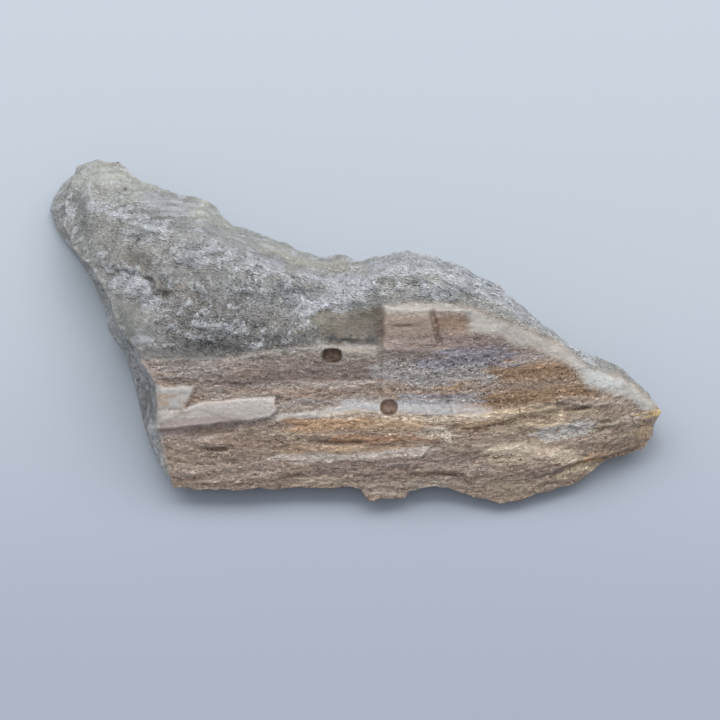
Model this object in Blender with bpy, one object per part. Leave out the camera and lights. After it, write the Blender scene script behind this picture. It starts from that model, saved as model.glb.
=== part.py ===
"""Petrified wood: one chunk of grey silica stone with a bed of fossil wood along its front.

The chunk is described on its broad face, the way a surveyor would map a slope. A point of the
face is (u, v, height): u runs right and v runs up the slope, both as seen square on, and height
is measured above the bench. The face leans back by FACE_LEAN, so that the chunk rests on its
underside. Everything is in millimetres until row_point turns it into the part's frame in metres.
"""

import math

import bmesh
import bpy
import numpy as np
from mathutils import Vector, kdtree, noise
from mathutils.bvhtree import BVHTree
from mathutils.geometry import delaunay_2d_cdt

MM = 0.001
FACE_LEAN = math.radians(30.0)
# Where the face's own origin stands on the bench, so that the chunk's box is centred.
FACE_ORIGIN_X = 1.7
FACE_ORIGIN_Y = -3.0

STONE_STEP = 1.05
GRAIN_STEP_ALONG = 1.5
GRAIN_STEP_ACROSS = 0.8
EDGE_STEP = 1.2
WALL_ROWS = 7
BASE_STEP = 2.1
ROUNDING = 0.45

# Stations round the chunk: the face's edge (u, v, height) and the foot of the wall below it (u, v).
LOBE_FAR_EDGE = [
    (-35.7, 24.7, 5.0, -36.8, 23.4),
    (-33.1, 25.3, 5.5, -33.7, 23.1),
    (-30.5, 24.8, 6.0, -30.8, 22.7),
    (-28.8, 23.6, 6.2, -29.0, 21.8),
    (-26.3, 22.0, 6.5, -26.3, 19.9),
    (-23.5, 21.1, 6.5, -23.5, 18.9),
    (-20.2, 20.2, 6.5, -20.0, 17.9),
    (-17.9, 18.9, 6.3, -17.6, 16.6),
    (-15.7, 16.6, 6.2, -15.6, 14.6),
    (-12.1, 15.5, 6.2, -12.0, 13.5),
    (-9.3, 14.4, 6.0, -9.2, 12.5),
    (-7.2, 13.5, 5.5, -7.2, 11.6),
]
SADDLE_EDGE = [
    (-4.9, 12.7, 5.0, -4.9, 11.1),
    (-2.5, 13.1, 5.0, -2.4, 11.3),
    (0.0, 12.3, 6.0, 0.1, 10.5),
    (2.0, 12.6, 7.5, 2.3, 10.4),
]
DOME_EDGE = [
    (3.9, 13.0, 9.5, 4.4, 9.9),
    (6.0, 13.1, 11.0, 6.6, 9.4),
    (8.7, 12.5, 11.5, 9.6, 8.8),
    (11.5, 11.5, 11.5, 12.7, 8.0),
    (14.2, 10.2, 11.0, 15.6, 6.9),
    (16.8, 8.8, 10.5, 18.3, 5.7),
]
RIGHT_BACK_EDGE = [
    (18.7, 7.1, 10.0, 20.1, 4.3),
    (20.8, 5.1, 9.5, 22.3, 2.4),
    (22.8, 3.5, 9.0, 24.3, 0.9),
    (25.2, 1.9, 8.5, 26.7, -0.6),
    (27.5, 0.7, 8.0, 28.9, -1.8),
    (29.9, -0.2, 7.5, 31.2, -2.7),
    (31.8, -1.5, 7.0, 32.8, -3.9),
    (34.3, -3.9, 6.0, 34.4, -6.0),
]
RIGHT_TIP = [
    (36.0, -6.1, 4.4, 35.2, -7.5),
    (34.8, -9.0, 2.9, 33.9, -9.4),
    (33.6, -10.6, 2.1, 32.6, -10.8),
    (30.8, -11.5, 1.9, 30.2, -11.5),
    (28.1, -12.7, 1.8, 27.7, -12.5),
]
LOWER_FLAKE_EDGE = [
    (26.3, -14.2, 1.7, 25.7, -13.7),
    (23.6, -15.2, 1.6, 23.2, -14.5),
    (20.6, -16.1, 1.6, 20.4, -15.2),
    (16.5, -16.9, 1.6, 16.7, -15.8),
    (14.1, -16.4, 1.6, 14.4, -15.4),
    (12.0, -15.5, 1.9, 12.0, -14.5),
    (9.2, -15.0, 2.1, 9.4, -13.7),
]
SPLINTER_EDGE = [
    (5.7, -15.5, 2.2, 6.4, -13.5),
    (5.2, -16.2, 2.1, 4.8, -13.6),
    (1.3, -16.6, 2.1, 2.2, -13.6),
    (0.1, -15.3, 2.3, 0.2, -13.4),
]
WOOD_FRONT_EDGE = [
    (-1.8, -15.1, 2.4, -1.8, -13.3),
    (-7.1, -15.1, 2.4, -7.2, -13.2),
    (-13.0, -15.3, 2.4, -13.2, -13.2),
    (-18.8, -15.3, 2.4, -18.6, -13.2),
    (-21.9, -15.2, 2.4, -21.5, -13.3),
]
LEFT_END = [
    (-22.6, -13.0, 3.7, -23.4, -12.9),
    (-23.2, -10.6, 5.2, -24.6, -11.6),
    (-23.7, -8.2, 6.7, -25.7, -9.2),
    (-23.8, -5.3, 8.2, -26.6, -6.3),
    (-23.9, -3.3, 9.1, -27.3, -3.9),
    (-24.9, -1.3, 9.6, -28.1, -1.7),
    (-25.9, 0.2, 9.8, -28.6, 0.0),
]
LOBE_NEAR_EDGE = [
    (-26.9, 1.8, 9.3, -29.5, 1.5),
    (-28.8, 3.8, 8.8, -30.7, 3.5),
    (-29.9, 7.0, 8.5, -32.1, 6.7),
    (-31.4, 9.1, 7.8, -33.4, 9.5),
    (-33.0, 11.7, 7.0, -35.2, 12.1),
    (-35.5, 14.0, 5.5, -36.9, 14.0),
    (-36.8, 16.7, 4.6, -38.4, 16.2),
    (-36.9, 19.8, 4.8, -39.4, 18.7),
    (-36.7, 21.4, 4.9, -39.1, 20.2),
    (-36.2, 23.2, 5.0, -38.0, 22.3),
]
STATIONS = (
    LOBE_FAR_EDGE
    + SADDLE_EDGE
    + DOME_EDGE
    + RIGHT_BACK_EDGE
    + RIGHT_TIP
    + LOWER_FLAKE_EDGE
    + SPLINTER_EDGE
    + WOOD_FRONT_EDGE
    + LEFT_END
    + LOBE_NEAR_EDGE
)

# Spot heights on the face (u, v, height), along its crests, slopes and hollows.
STONE_CREST = [
    (-34.3, 21.8, 7.0),
    (-30.7, 18.7, 9.3),
    (-28.3, 17.3, 10.6),
    (-25.6, 15.8, 12.2),
    (-22.8, 15.4, 13.4),
    (-19.1, 14.7, 14.4),
    (-15.5, 13.6, 14.2),
    (-12.2, 11.8, 13.4),
    (-9.0, 10.3, 12.1),
]
SADDLE = [(-6.0, 9.0, 10.6), (-3.0, 8.8, 10.0), (-0.2, 9.5, 10.9)]
DOME_CREST = [
    (2.4, 10.5, 12.6),
    (5.3, 10.9, 13.9),
    (8.5, 10.4, 14.6),
    (11.8, 9.5, 14.4),
    (14.8, 7.9, 13.7),
    (17.7, 6.0, 12.7),
    (20.7, 3.8, 11.7),
    (23.6, 1.7, 10.7),
    (26.6, -0.2, 9.6),
    (29.0, -1.3, 8.9),
    (31.4, -2.5, 7.9),
    (33.8, -4.4, 6.7),
]
BACK_SLOPE = [
    (-31.9, 22.7, 7.2),
    (-28.5, 20.8, 8.0),
    (-23.9, 18.5, 9.6),
    (-19.6, 17.7, 10.3),
    (-14.3, 14.7, 10.2),
    (-10.9, 13.5, 9.4),
    (-7.3, 11.8, 8.2),
    (-3.7, 11.1, 7.0),
    (-0.6, 11.1, 8.0),
    (3.0, 11.8, 10.9),
    (8.6, 11.7, 13.4),
    (14.3, 9.3, 13.0),
    (19.0, 6.3, 11.6),
]
LOBE_FACE = [
    (-35.2, 19.2, 5.6),
    (-33.1, 18.0, 8.0),
    (-31.8, 14.9, 9.0),
    (-32.4, 12.8, 8.0),
    (-27.8, 13.5, 10.8),
    (-25.9, 12.0, 11.2),
    (-29.7, 10.7, 9.2),
    (-26.6, 9.1, 10.6),
    (-24.9, 8.4, 10.4),
    (-23.5, 8.4, 10.2),
    (-28.5, 6.6, 9.6),
    (-26.5, 4.8, 10.7),
    (-24.9, 3.3, 10.4),
    (-25.2, 1.2, 10.0),
]
SHOULDER = [
    (-22.1, 11.7, 13.4),
    (-18.4, 10.7, 14.4),
    (-14.8, 8.9, 13.9),
    (-20.8, 8.1, 12.4),
    (-17.1, 6.5, 13.0),
    (-13.0, 6.2, 12.6),
    (-8.9, 6.9, 11.5),
    (-21.9, 5.0, 11.4),
    (-18.3, 3.5, 11.5),
    (-14.2, 3.5, 11.4),
    (-10.1, 3.8, 11.0),
    (-7.1, 5.0, 10.7),
]
HOLLOW = [
    (-22.3, 1.8, 10.0),
    (-18.9, 1.2, 10.0),
    (-14.8, 1.2, 10.0),
    (-11.3, 1.9, 10.2),
    (-7.1, 2.4, 10.3),
    (-3.6, 2.8, 10.2),
    (0.0, 2.6, 10.2),
    (2.1, 2.6, 10.3),
    (-4.2, 6.0, 10.4),
    (-1.2, 5.4, 10.2),
    (1.2, 4.5, 10.4),
    (1.4, 7.6, 12.0),
    (-1.8, 7.4, 10.7),
]
WOOD_TOP = [
    (-24.8, -0.1, 10.2),
    (-21.8, 0.1, 10.4),
    (-18.9, 0.2, 10.4),
    (-13.0, 0.7, 10.5),
    (-7.1, 1.5, 10.6),
    (-1.8, 1.7, 10.6),
    (2.4, 1.5, 10.7),
    (3.8, 6.4, 12.4),
    (8.3, 6.6, 13.0),
    (12.4, 6.4, 13.1),
    (16.5, 4.8, 12.3),
    (19.5, 3.2, 11.5),
    (22.4, 1.2, 10.6),
    (26.0, -0.8, 9.5),
    (29.0, -1.7, 8.6),
    (32.6, -3.2, 7.3),
    (34.7, -5.2, 6.2),
]
WOOD_SLOPE = [
    (3.8, 1.8, 11.0),
    (9.4, 1.2, 11.2),
    (16.5, 1.2, 11.1),
    (22.4, -1.4, 9.7),
    (28.4, -3.8, 7.8),
    (-22.6, -4.7, 8.5),
    (-17.1, -4.7, 8.6),
    (-10.6, -4.7, 8.6),
    (-3.5, -4.7, 8.7),
    (2.9, -4.7, 8.8),
    (9.4, -4.7, 8.8),
    (16.5, -4.7, 8.6),
    (23.6, -4.7, 8.1),
    (29.6, -4.7, 7.2),
    (-22.3, -9.4, 6.1),
    (-17.0, -9.4, 6.2),
    (-10.6, -9.4, 6.2),
    (-3.5, -9.4, 6.2),
    (2.9, -9.4, 6.3),
    (9.4, -9.4, 6.3),
    (16.5, -9.4, 6.0),
    (23.6, -9.4, 5.5),
    (29.6, -9.5, 4.4),
    (33.2, -8.3, 4.2),
    (-21.8, -12.9, 4.1),
    (-17.1, -12.9, 4.1),
    (-10.6, -12.9, 4.1),
    (-3.5, -12.9, 4.1),
    (2.9, -13.2, 3.9),
    (9.4, -12.9, 4.0),
    (16.5, -13.2, 3.6),
    (22.4, -12.7, 3.4),
    (27.2, -11.6, 3.1),
]
SPOT_HEIGHTS = (
    STONE_CREST
    + SADDLE
    + DOME_CREST
    + BACK_SLOPE
    + LOBE_FACE
    + SHOULDER
    + HOLLOW
    + WOOD_TOP
    + WOOD_SLOPE
)

# Where the wood meets the stone on the face, from the left end's foot up and over to the right tip.
WOOD_OUTLINE = [
    (-22.2, -17.0),
    (-22.7, -13.0),
    (-23.2, -10.6),
    (-23.7, -8.3),
    (-23.8, -3.0),
    (-24.8, -1.4),
    (-25.8, 0.2),
    (-18.9, 0.2),
    (-13.6, 0.4),
    (-11.6, 1.1),
    (-7.1, 1.5),
    (-1.8, 1.8),
    (2.4, 1.7),
    (2.7, 6.1),
    (4.7, 6.6),
    (11.8, 6.6),
    (14.2, 5.8),
    (17.7, 4.5),
    (21.2, 2.2),
    (24.2, 0.1),
    (26.0, -0.8),
    (30.7, -1.8),
    (33.6, -4.1),
    (37.0, -6.6),
    (37.0, -17.0),
]
# The grain runs level at the left and bends upward to the right of this place.
GRAIN_BEND_U = -5.0
GRAIN_BEND = 0.0022

# Lumps of the stone: (u, v, half width, half height, rise), hollows having a negative rise.
LUMPS = [
    (-26.4, 4.5, 2.4, 2.7, 0.7),
    (-26.3, 8.6, 3.2, 1.4, 0.4),
    (-30.8, 22.6, 3.2, 1.5, 0.35),
    (-17.5, 17.5, 2.6, 1.7, 0.5),
    (-11.3, 14.0, 3.2, 1.5, 0.4),
    (-2.4, 11.2, 3.6, 1.2, 0.5),
    (-5.5, 7.2, 3.4, 1.4, 0.4),
    (-34.6, 17.6, 1.3, 2.3, -0.5),
    (-21.0, 10.6, 2.2, 2.0, -0.4),
    (-26.8, 15.9, 4.0, 1.0, 0.4),
]

# Over how far the start and the end of a ledge's line run out.
SHORT_ENDS = (0.7, 0.7)
# Ledges: (rise, reach, width of the step, ends, line). The face steps up by rise on the right-hand
# side of the line, as it is walked, and the rise dies away over reach.
LEDGES = [
    # The upright break at the left of the thick block of wood, gentle at its foot.
    (0.9, 6.0, 0.5, (3.2, 0.7), [(2.8, -0.8), (2.7, 1.7), (2.8, 4.5), (2.9, 6.7)]),
    (0.3, 4.0, 0.3, SHORT_ENDS, [(2.7, -4.6), (2.6, -1.8), (2.8, 0.2)]),
    # Flakes of wood that end part-way along.
    (0.35, 4.0, 0.3, SHORT_ENDS, [(4.7, -7.1), (7.6, -7.7), (10.2, -8.0), (10.8, -8.8), (10.7, -10.2)]),
    (
        0.5,
        2.5,
        0.3,
        (0.7, 2.0),
        [(23.5, -5.6), (21.8, -6.0), (18.8, -6.4), (17.1, -7.2), (12.9, -8.0), (10.8, -8.4)],
    ),
    (0.5, 3.0, 0.3, SHORT_ENDS, [(13.4, -14.6), (12.5, -14.1), (11.2, -13.4), (8.2, -13.3), (5.5, -13.3)]),
    (
        0.9,
        4.0,
        0.3,
        (0.7, 4.0),
        [(33.3, -10.2), (30.8, -10.9), (28.2, -11.6), (25.9, -12.0), (24.2, -12.6), (22.6, -13.3)]
        + [(19.4, -14.0)],
    ),
    (0.4, 2.5, 0.3, (2.0, 0.7), [(31.5, -5.2), (27.4, -5.5), (23.4, -5.0), (19.5, -5.6)]),
    # The top edge of the wood stands out of the hollow in the stone.
    (
        0.4,
        3.0,
        0.5,
        SHORT_ENDS,
        [(-25.2, 0.0), (-20.6, 0.35), (-14.7, 0.25), (-11.5, 1.1), (-7.1, 1.5), (-2.9, 1.8), (2.3, 1.7)],
    ),
    # The pale lip across the top of the stone lobe, and the broken step below it.
    (0.4, 2.5, 0.5, SHORT_ENDS, [(-32.8, 18.6), (-30.2, 18.3), (-28.2, 17.6), (-26.4, 16.6), (-23.9, 15.8)]),
    (
        0.55,
        3.0,
        0.4,
        SHORT_ENDS,
        [(-24.5, 7.9), (-24.4, 9.0), (-24.8, 9.8), (-26.6, 10.2), (-28.9, 11.0), (-30.7, 11.5)],
    ),
]

# The two pale smooth blocks at the left end, and the flat recess beside the notch in the thick block.
SMALL_BLOCK = [(-25.2, -3.2), (-19.4, -3.0), (-20.1, -4.7), (-20.6, -5.8), (-25.2, -6.1)]
LONG_BLOCK = [
    (-25.2, -6.1),
    (-20.6, -5.8),
    (-18.9, -5.0),
    (-14.2, -4.5),
    (-10.0, -4.4),
    (-9.8, -5.9),
    (-10.6, -6.8),
    (-13.0, -7.2),
    (-14.4, -7.2),
    (-25.2, -8.4),
]
RECESS = [(8.6, 5.9), (13.0, 5.7), (13.4, 3.5), (9.7, 2.6)]
# Plateaus: (rise, half width of the edge's slope, outline), hollows having a negative rise.
PLATEAUS = [(0.35, 0.3, SMALL_BLOCK), (0.5, 0.2, LONG_BLOCK), (-0.25, 0.7, RECESS)]

# Cracks: (depth, width, line).
CRACKS = [
    (0.25, 0.45, [(-19.0, -10.4), (-16.5, -10.5), (-14.1, -10.3)]),
    (0.25, 0.45, [(-10.8, -10.4), (-9.5, -10.3), (-7.8, -10.1)]),
    (0.3, 0.5, [(-6.5, -9.5), (-2.5, -9.8), (0.6, -9.7)]),
    (0.35, 0.9, [(-21.2, -8.6), (-18.2, -8.4), (-14.3, -7.9)]),
    (0.45, 0.8, [(8.4, 6.3), (8.8, 4.2), (9.2, 2.6), (9.6, 1.3)]),
    (0.1, 0.3, [(3.7, 3.9), (5.4, 4.0), (7.0, 4.1)]),
    (0.4, 0.5, [(-3.0, 2.1), (-0.6, 2.2), (1.8, 2.1)]),
    # The crevice below the broken step of the stone lobe.
    (0.3, 0.5, [(-29.3, 11.2), (-27.6, 10.6), (-26.0, 10.2), (-25.0, 9.4), (-24.7, 8.0), (-23.6, 7.4)]),
    (0.35, 0.5, [(8.4, -13.2), (12.0, -13.5), (13.0, -14.4)]),
    (0.35, 0.45, [(23.6, -5.9), (26.0, -5.8), (27.5, -5.5)]),
    (0.3, 0.45, [(27.8, -7.4), (30.5, -7.2)]),
]

# Old borings in the wood, pits with round or blunt corners:
# (depth, u, v, half width, half height, squareness), where 2 is round.
BORINGS = [(0.6, -3.3, 0.5, 1.2, 0.85, 2.8), (0.7, 3.4, -5.6, 1.05, 0.95, 2.1)]

BORING_SIDES = 12
FEATURE_SPREAD = 0.17
RAGGED = 0.18
RAGGED_STEP = 0.7
EDGE_WANDER = 0.35
STONE_SWELL = 0.4
STONE_HACKLE = 0.4
WOOD_TERRACE = 0.3
WOOD_FIBRE = 0.16
WALL_SWELL = 0.8
BASE_LIFT = 0.9
BASE_HOLLOW = 0.6
# The flat land under the chunk's middle, where it rests and where a stand would meet it.
REST_PAD = (-6.0, 3.0)
REST_PAD_RADIUS = 7.0


def row_point(u, v, out):
    """A point of the face's own frame, out standing square off the face, in the part's frame."""
    lean_sin, lean_cos = math.sin(FACE_LEAN), math.cos(FACE_LEAN)
    return (
        (u + FACE_ORIGIN_X) * MM,
        (v * lean_cos - out * lean_sin + FACE_ORIGIN_Y) * MM,
        (v * lean_sin + out * lean_cos) * MM,
    )


def face_frame(points):
    """The (u, v, out) of points of the part's frame given in millimetres."""
    lean_sin, lean_cos = math.sin(FACE_LEAN), math.cos(FACE_LEAN)
    x, y, z = (points - np.array([FACE_ORIGIN_X, FACE_ORIGIN_Y, 0.0])).T
    return np.column_stack([x, y * lean_cos + z * lean_sin, z * lean_cos - y * lean_sin])


def out_of_face(v, height):
    """How far a point of that height above the bench stands out in the face's own frame."""
    return (height - v * math.sin(FACE_LEAN)) / math.cos(FACE_LEAN)


def swell(points, size, seed):
    """Smooth noise from -1 to 1 at each point, with lumps of that size."""
    return np.array([noise.noise((p[0] / size + seed, p[1] / size, p[2] / size)) for p in points])


def hackle(points, size, seed):
    """Flat-sided peaks and pits, the way a sandy stone breaks, about that far apart."""
    peaks = []
    for p in points:
        place = Vector((p[0] / size + seed, p[1] / size, p[2] / size))
        high = noise.voronoi(place, distance_metric="MANHATTAN")[0][0]
        deep = noise.voronoi(place * 0.8 + Vector((9.0, 5.0, 1.0)), distance_metric="MANHATTAN")[0][0]
        peaks.append(deep - high)
    return np.array(peaks)


def smoothstep(low, high, x):
    t = np.clip((x - low) / (high - low), 0.0, 1.0)
    return t * t * (3.0 - 2.0 * t)


def triangles(points, edges=()):
    """The plane's triangles between these points, inside the closed edges where there are any."""
    made = delaunay_2d_cdt([Vector(p) for p in points], list(edges), [], 1 if edges else 0, 1e-5)
    return [tuple(p) for p in made[0]], [tuple(f) for f in made[2]]


def ring(count):
    return [(i, (i + 1) % count) for i in range(count)]


def inside(points, loop):
    """Which of these points lie inside the loop."""
    found = np.zeros(len(points), bool)
    for (ax, ay), (bx, by) in zip(loop, np.roll(loop, -1, axis=0)):
        if ay == by:
            continue
        crosses = (ay > points[:, 1]) != (by > points[:, 1])
        found ^= crosses & (points[:, 0] < ax + (points[:, 1] - ay) * (bx - ax) / (by - ay))
    return found


def along(points, line):
    """Distance of each point from the line, the side it is on, and how far along it lies."""
    best = np.full(len(points), np.inf)
    side = np.zeros(len(points))
    travel = np.zeros(len(points))
    walked = 0.0
    for a, b in zip(line[:-1], line[1:]):
        a, b = np.array(a, float), np.array(b, float)
        length = np.linalg.norm(b - a)
        share = np.clip((points - a) @ (b - a) / length**2, 0.0, 1.0)
        away = points - (a + share[:, None] * (b - a))
        distance = np.linalg.norm(away, axis=1)
        nearer = distance < best
        best[nearer] = distance[nearer]
        turn = away[:, 0] * (b - a)[1] - away[:, 1] * (b - a)[0]
        side[nearer] = np.sign(turn)[nearer]
        travel[nearer] = (walked + share * length)[nearer]
        walked += length
    return best, side, travel, walked


def in_wood(points):
    """1 in the wood, 0 in the stone, blending over a narrow seam."""
    wood = inside(points, np.array(WOOD_OUTLINE))
    seam = along(points, WOOD_OUTLINE)[0]
    return 0.5 + np.where(wood, 0.5, -0.5) * smoothstep(0.0, 0.5, seam)


def across_grain(u, v):
    """Place across the grain, which curves upward towards the right."""
    return v - GRAIN_BEND * np.maximum(u - GRAIN_BEND_U, 0.0) ** 2


def terraces(solid):
    """Steps of split wood, long along the grain and short across it, boldest low on the face."""
    u, v, out = solid.T
    bend = 0.35 * swell(solid, 2.6, 91.0)
    grain = across_grain(u, v) + bend
    broad = swell(np.column_stack([u / 9.0, grain / 1.8, out / 2.5]), 1.0, 5.0)
    fine = swell(np.column_stack([u / 4.0, grain / 0.85, out / 1.2]), 1.0, 9.0)
    boldness = 0.55 + 0.45 * smoothstep(5.0, 8.0, -v)
    return boldness * (WOOD_TERRACE * (smoothstep(-0.14, 0.14, broad) - 0.5) + WOOD_FIBRE * fine)


def lump_rise(points, u, v, half_width, half_height, rise):
    reach = np.hypot((points[:, 0] - u) / half_width, (points[:, 1] - v) / half_height)
    return rise * (1.0 - smoothstep(0.35, 1.1, reach))


def ragged(line):
    """The line in short runs that stray to both sides, as broken edges do."""
    places = [np.array(line[0], float)]
    for a, b in zip(line[:-1], line[1:]):
        a, b = np.array(a, float), np.array(b, float)
        count = max(1, round(np.linalg.norm(b - a) / RAGGED_STEP))
        places += [a + (b - a) * k / count for k in range(1, count + 1)]
    places = np.array(places)
    solid = np.column_stack([places, np.zeros(len(places))])
    return places + RAGGED * np.column_stack([swell(solid, 0.9, 67.0), swell(solid, 0.9, 73.0)])


def near_line(points, line, reach):
    """Which of the points lie within reach of the line's box."""
    low, high = np.min(line, axis=0) - reach, np.max(line, axis=0) + reach
    return np.all((points > low) & (points < high), axis=1)


def ledge_rise(points, rise, reach, width, ends, line):
    line = ragged(line)
    found = np.zeros(len(points))
    near = near_line(points, line, 4.0 * reach)
    distance, side, travel, length = along(points[near], line)
    strength = smoothstep(0.0, ends[0], travel) * smoothstep(0.0, ends[1], length - travel)
    step = smoothstep(-width / 2, width / 2, distance * side)
    found[near] = rise * step * np.exp(-distance / reach) * strength
    return found


def crack_depth(points, depth, width, line):
    line = ragged(line)
    found = np.zeros(len(points))
    near = near_line(points, line, width)
    distance, _, travel, length = along(points[near], line)
    ends = smoothstep(0.0, 1.0, travel) * smoothstep(0.0, 1.0, length - travel)
    found[near] = depth * (1.0 - smoothstep(width * 0.2, width * 0.7, distance)) * ends
    return found


def in_patch(points, outline, soft):
    """1 inside the outline, 0 outside, blending over soft on each side of it."""
    edge = ragged(outline + outline[:1])
    reach = along(points, edge)[0] * np.where(inside(points, edge[:-1]), 1.0, -1.0)
    return smoothstep(-soft, soft, reach)


def pit_reach(points, u, v, half_width, half_height, squareness):
    """0 at the middle of a pit and 1 at its edge."""
    across, up = np.abs(points[:, 0] - u) / half_width, np.abs(points[:, 1] - v) / half_height
    return (across**squareness + up**squareness) ** (1.0 / squareness)


def pit_depth(points, depth, *shape):
    return depth * (1.0 - smoothstep(0.8, 1.1, pit_reach(points, *shape)))


def relief(points):
    """The ledges, cracks and pits of the face, as rises out of it."""
    total = np.zeros(len(points))
    for ledge in LEDGES:
        total += ledge_rise(points, *ledge)
    for rise, soft, outline in PLATEAUS:
        total += rise * in_patch(points, outline, soft)
    for crack in CRACKS:
        total -= crack_depth(points, *crack)
    for boring in BORINGS:
        total -= pit_depth(points, *boring)
    for lump in LUMPS:
        total += lump_rise(points, *lump)
    return total


def texture(solid):
    """The broken surface of stone and wood at these (u, v, out) places, as rises out of it."""
    stone = STONE_SWELL * swell(solid, 4.5, 3.7) + STONE_HACKLE * hackle(solid, 3.4, 2.0)
    wood = in_wood(solid[:, :2])
    return wood * terraces(solid) + (1.0 - wood) * stone


class FaceMap:
    """The rounded facets of the face between its stations and spot heights, on a grid."""

    STEP = 0.25
    APRON = 1.25

    def __init__(self):
        spots = [(u, v, out_of_face(v, height)) for u, v, height, _, _ in STATIONS]
        middle = np.mean([s[:2] for s in spots], axis=0)
        # The facets run on past the edge, so that rounding them doesn't pull the edge in.
        spots += [(*(middle + (np.array(s[:2]) - middle) * self.APRON), s[2]) for s in spots]
        spots += [(u, v, out_of_face(v, height)) for u, v, height in SPOT_HEIGHTS]
        flat, faces = triangles([s[:2] for s in spots])
        out = {tuple(np.round(s[:2], 3)): s[2] for s in spots}
        facets = BVHTree.FromPolygons([(*p, out[tuple(np.round(p, 3))]) for p in flat], faces)
        self.low = np.min(flat, axis=0)
        high = np.max(flat, axis=0)
        self.shape = [int(n) for n in np.ceil((high - self.low) / self.STEP) + 1]
        heights = np.zeros(self.shape)
        for i in range(self.shape[0]):
            for j in range(self.shape[1]):
                start = (*(self.low + np.array([i, j]) * self.STEP), 100.0)
                hit = facets.ray_cast(start, (0.0, 0.0, -1.0))[0]
                heights[i, j] = hit.z if hit else np.nan
        self.heights = self.rounded(heights)

    def rounded(self, heights):
        """A blur of ROUNDING, which takes the hard arris off each facet."""
        reach = int(3 * ROUNDING / self.STEP)
        weights = np.exp(-0.5 * (np.arange(-reach, reach + 1) * self.STEP / ROUNDING) ** 2)
        known = ~np.isnan(heights)
        total, share = np.where(known, heights, 0.0), known.astype(float)
        for axis in (0, 1):
            total, share = (
                sum(w * np.roll(grid, k, axis) for w, k in zip(weights, range(-reach, reach + 1)))
                for grid in (total, share)
            )
        return np.where(known, total / np.maximum(share, 1e-9), 0.0)

    def at(self, points):
        place = (points - self.low) / self.STEP
        corner = np.clip(place.astype(int), 0, np.array(self.shape) - 2)
        fu, fv = (place - corner).T
        i, j = corner.T
        g = self.heights
        left = g[i, j] * (1 - fv) + g[i, j + 1] * fv
        right = g[i + 1, j] * (1 - fv) + g[i + 1, j + 1] * fv
        return left * (1 - fu) + right * fu


def face_points(face_map, flat):
    """The face at these (u, v) places, in its own frame."""
    out = face_map.at(flat) + relief(flat)
    out = out + texture(np.column_stack([flat, out]))
    return np.column_stack([flat, out])


def wandered(loop, step, strength):
    """The loop with a point at least every step, straying a little from its straight runs."""
    found = []
    for a, b in zip(loop, np.roll(loop, -1, axis=0)):
        count = max(1, math.ceil(np.linalg.norm(b[:2] - a[:2]) / step))
        found += [a + (b - a) * i / count for i in range(count)]
    found = np.array(found)
    places = found[:, :3].copy()
    for column, seed in ((0, 11.0), (1, 23.0)):
        found[:, column] += strength * (swell(places, 2.2, seed) + 0.35 * swell(places, 0.7, seed + 5.0))
    return found


def beside(line, step, offset):
    """Places along a line, standing that far off it to one side."""
    found = []
    for a, b in zip(line[:-1], line[1:]):
        a, b = np.array(a, float), np.array(b, float)
        length = np.linalg.norm(b - a)
        across = np.array([b[1] - a[1], a[0] - b[0]]) / length
        count = max(1, round(length / step))
        found += [a + (b - a) * k / count + across * offset for k in range(count)]
    return np.array(found + [b + across * offset])


def feature_chains(step):
    """Rows of places on both sides of each ledge, plateau edge and crack and round each boring."""
    lines = [ledge[4] for ledge in LEDGES] + [crack[2] for crack in CRACKS]
    lines += [outline + outline[:1] for _, _, outline in PLATEAUS]
    chains = []
    for line in lines:
        chains += [beside(ragged(line), step, side * FEATURE_SPREAD) for side in (-1.0, 1.0)]
    for _, u, v, half_width, half_height, squareness in BORINGS:
        angles = np.linspace(0.0, 2 * math.pi, BORING_SIDES + 1)
        turn = np.column_stack([np.cos(angles), np.sin(angles)])
        edge = np.sign(turn) * np.abs(turn) ** (2.0 / squareness) * (half_width, half_height)
        chains += [np.array([u, v]) + size * edge for size in (0.75, 1.1)]
    return chains


def grid_points(loop, step_u, step_v):
    """Staggered rows of points inside the loop, each strayed a little from its row."""
    low, high = loop.min(axis=0), loop.max(axis=0)
    rows = enumerate(np.arange(low[1], high[1], step_v))
    grid = [(u + step_u / 2 * (k % 2), v) for k, v in rows for u in np.arange(low[0], high[0], step_u)]
    solid = np.column_stack([grid, np.zeros(len(grid))])
    stray = np.column_stack([swell(solid, step_u * 0.83, 13.0), swell(solid, step_u * 0.83, 31.0)])
    grid = np.array(grid) + stray * np.array([step_u, step_v]) * 0.4
    return grid[inside(grid, loop)]


def clear_of(points, others, gap):
    """Which of the points are at least gap from all the others."""
    tree = kdtree.KDTree(len(others))
    for k, p in enumerate(others):
        tree.insert((*p, 0.0), k)
    tree.balance()
    return np.array([tree.find((*p, 0.0))[2] > gap for p in points])


def face_places(rim):
    """Where the face gets its points, and the edges among them that its mesh must keep."""
    places = list(rim)
    edges = ring(len(rim))
    for chain in feature_chains(GRAIN_STEP_ALONG):
        kept = inside(chain, rim) & clear_of(chain, rim, 0.35)
        numbers = len(places) + np.cumsum(kept) - 1
        edges += [(numbers[k], numbers[k + 1]) for k in range(len(chain) - 1) if kept[k] and kept[k + 1]]
        places += list(chain[kept])
    fixed = np.array(places)
    stone = grid_points(rim, STONE_STEP, STONE_STEP * 0.87)
    stone = stone[(in_wood(stone) < 0.5) & clear_of(stone, fixed, 0.6 * STONE_STEP)]
    wood = grid_points(rim, GRAIN_STEP_ALONG, GRAIN_STEP_ACROSS)
    wood = wood[(in_wood(wood) >= 0.5) & clear_of(wood, fixed, 0.6 * GRAIN_STEP_ACROSS)]
    return np.concatenate([fixed, stone, wood]), edges


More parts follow.
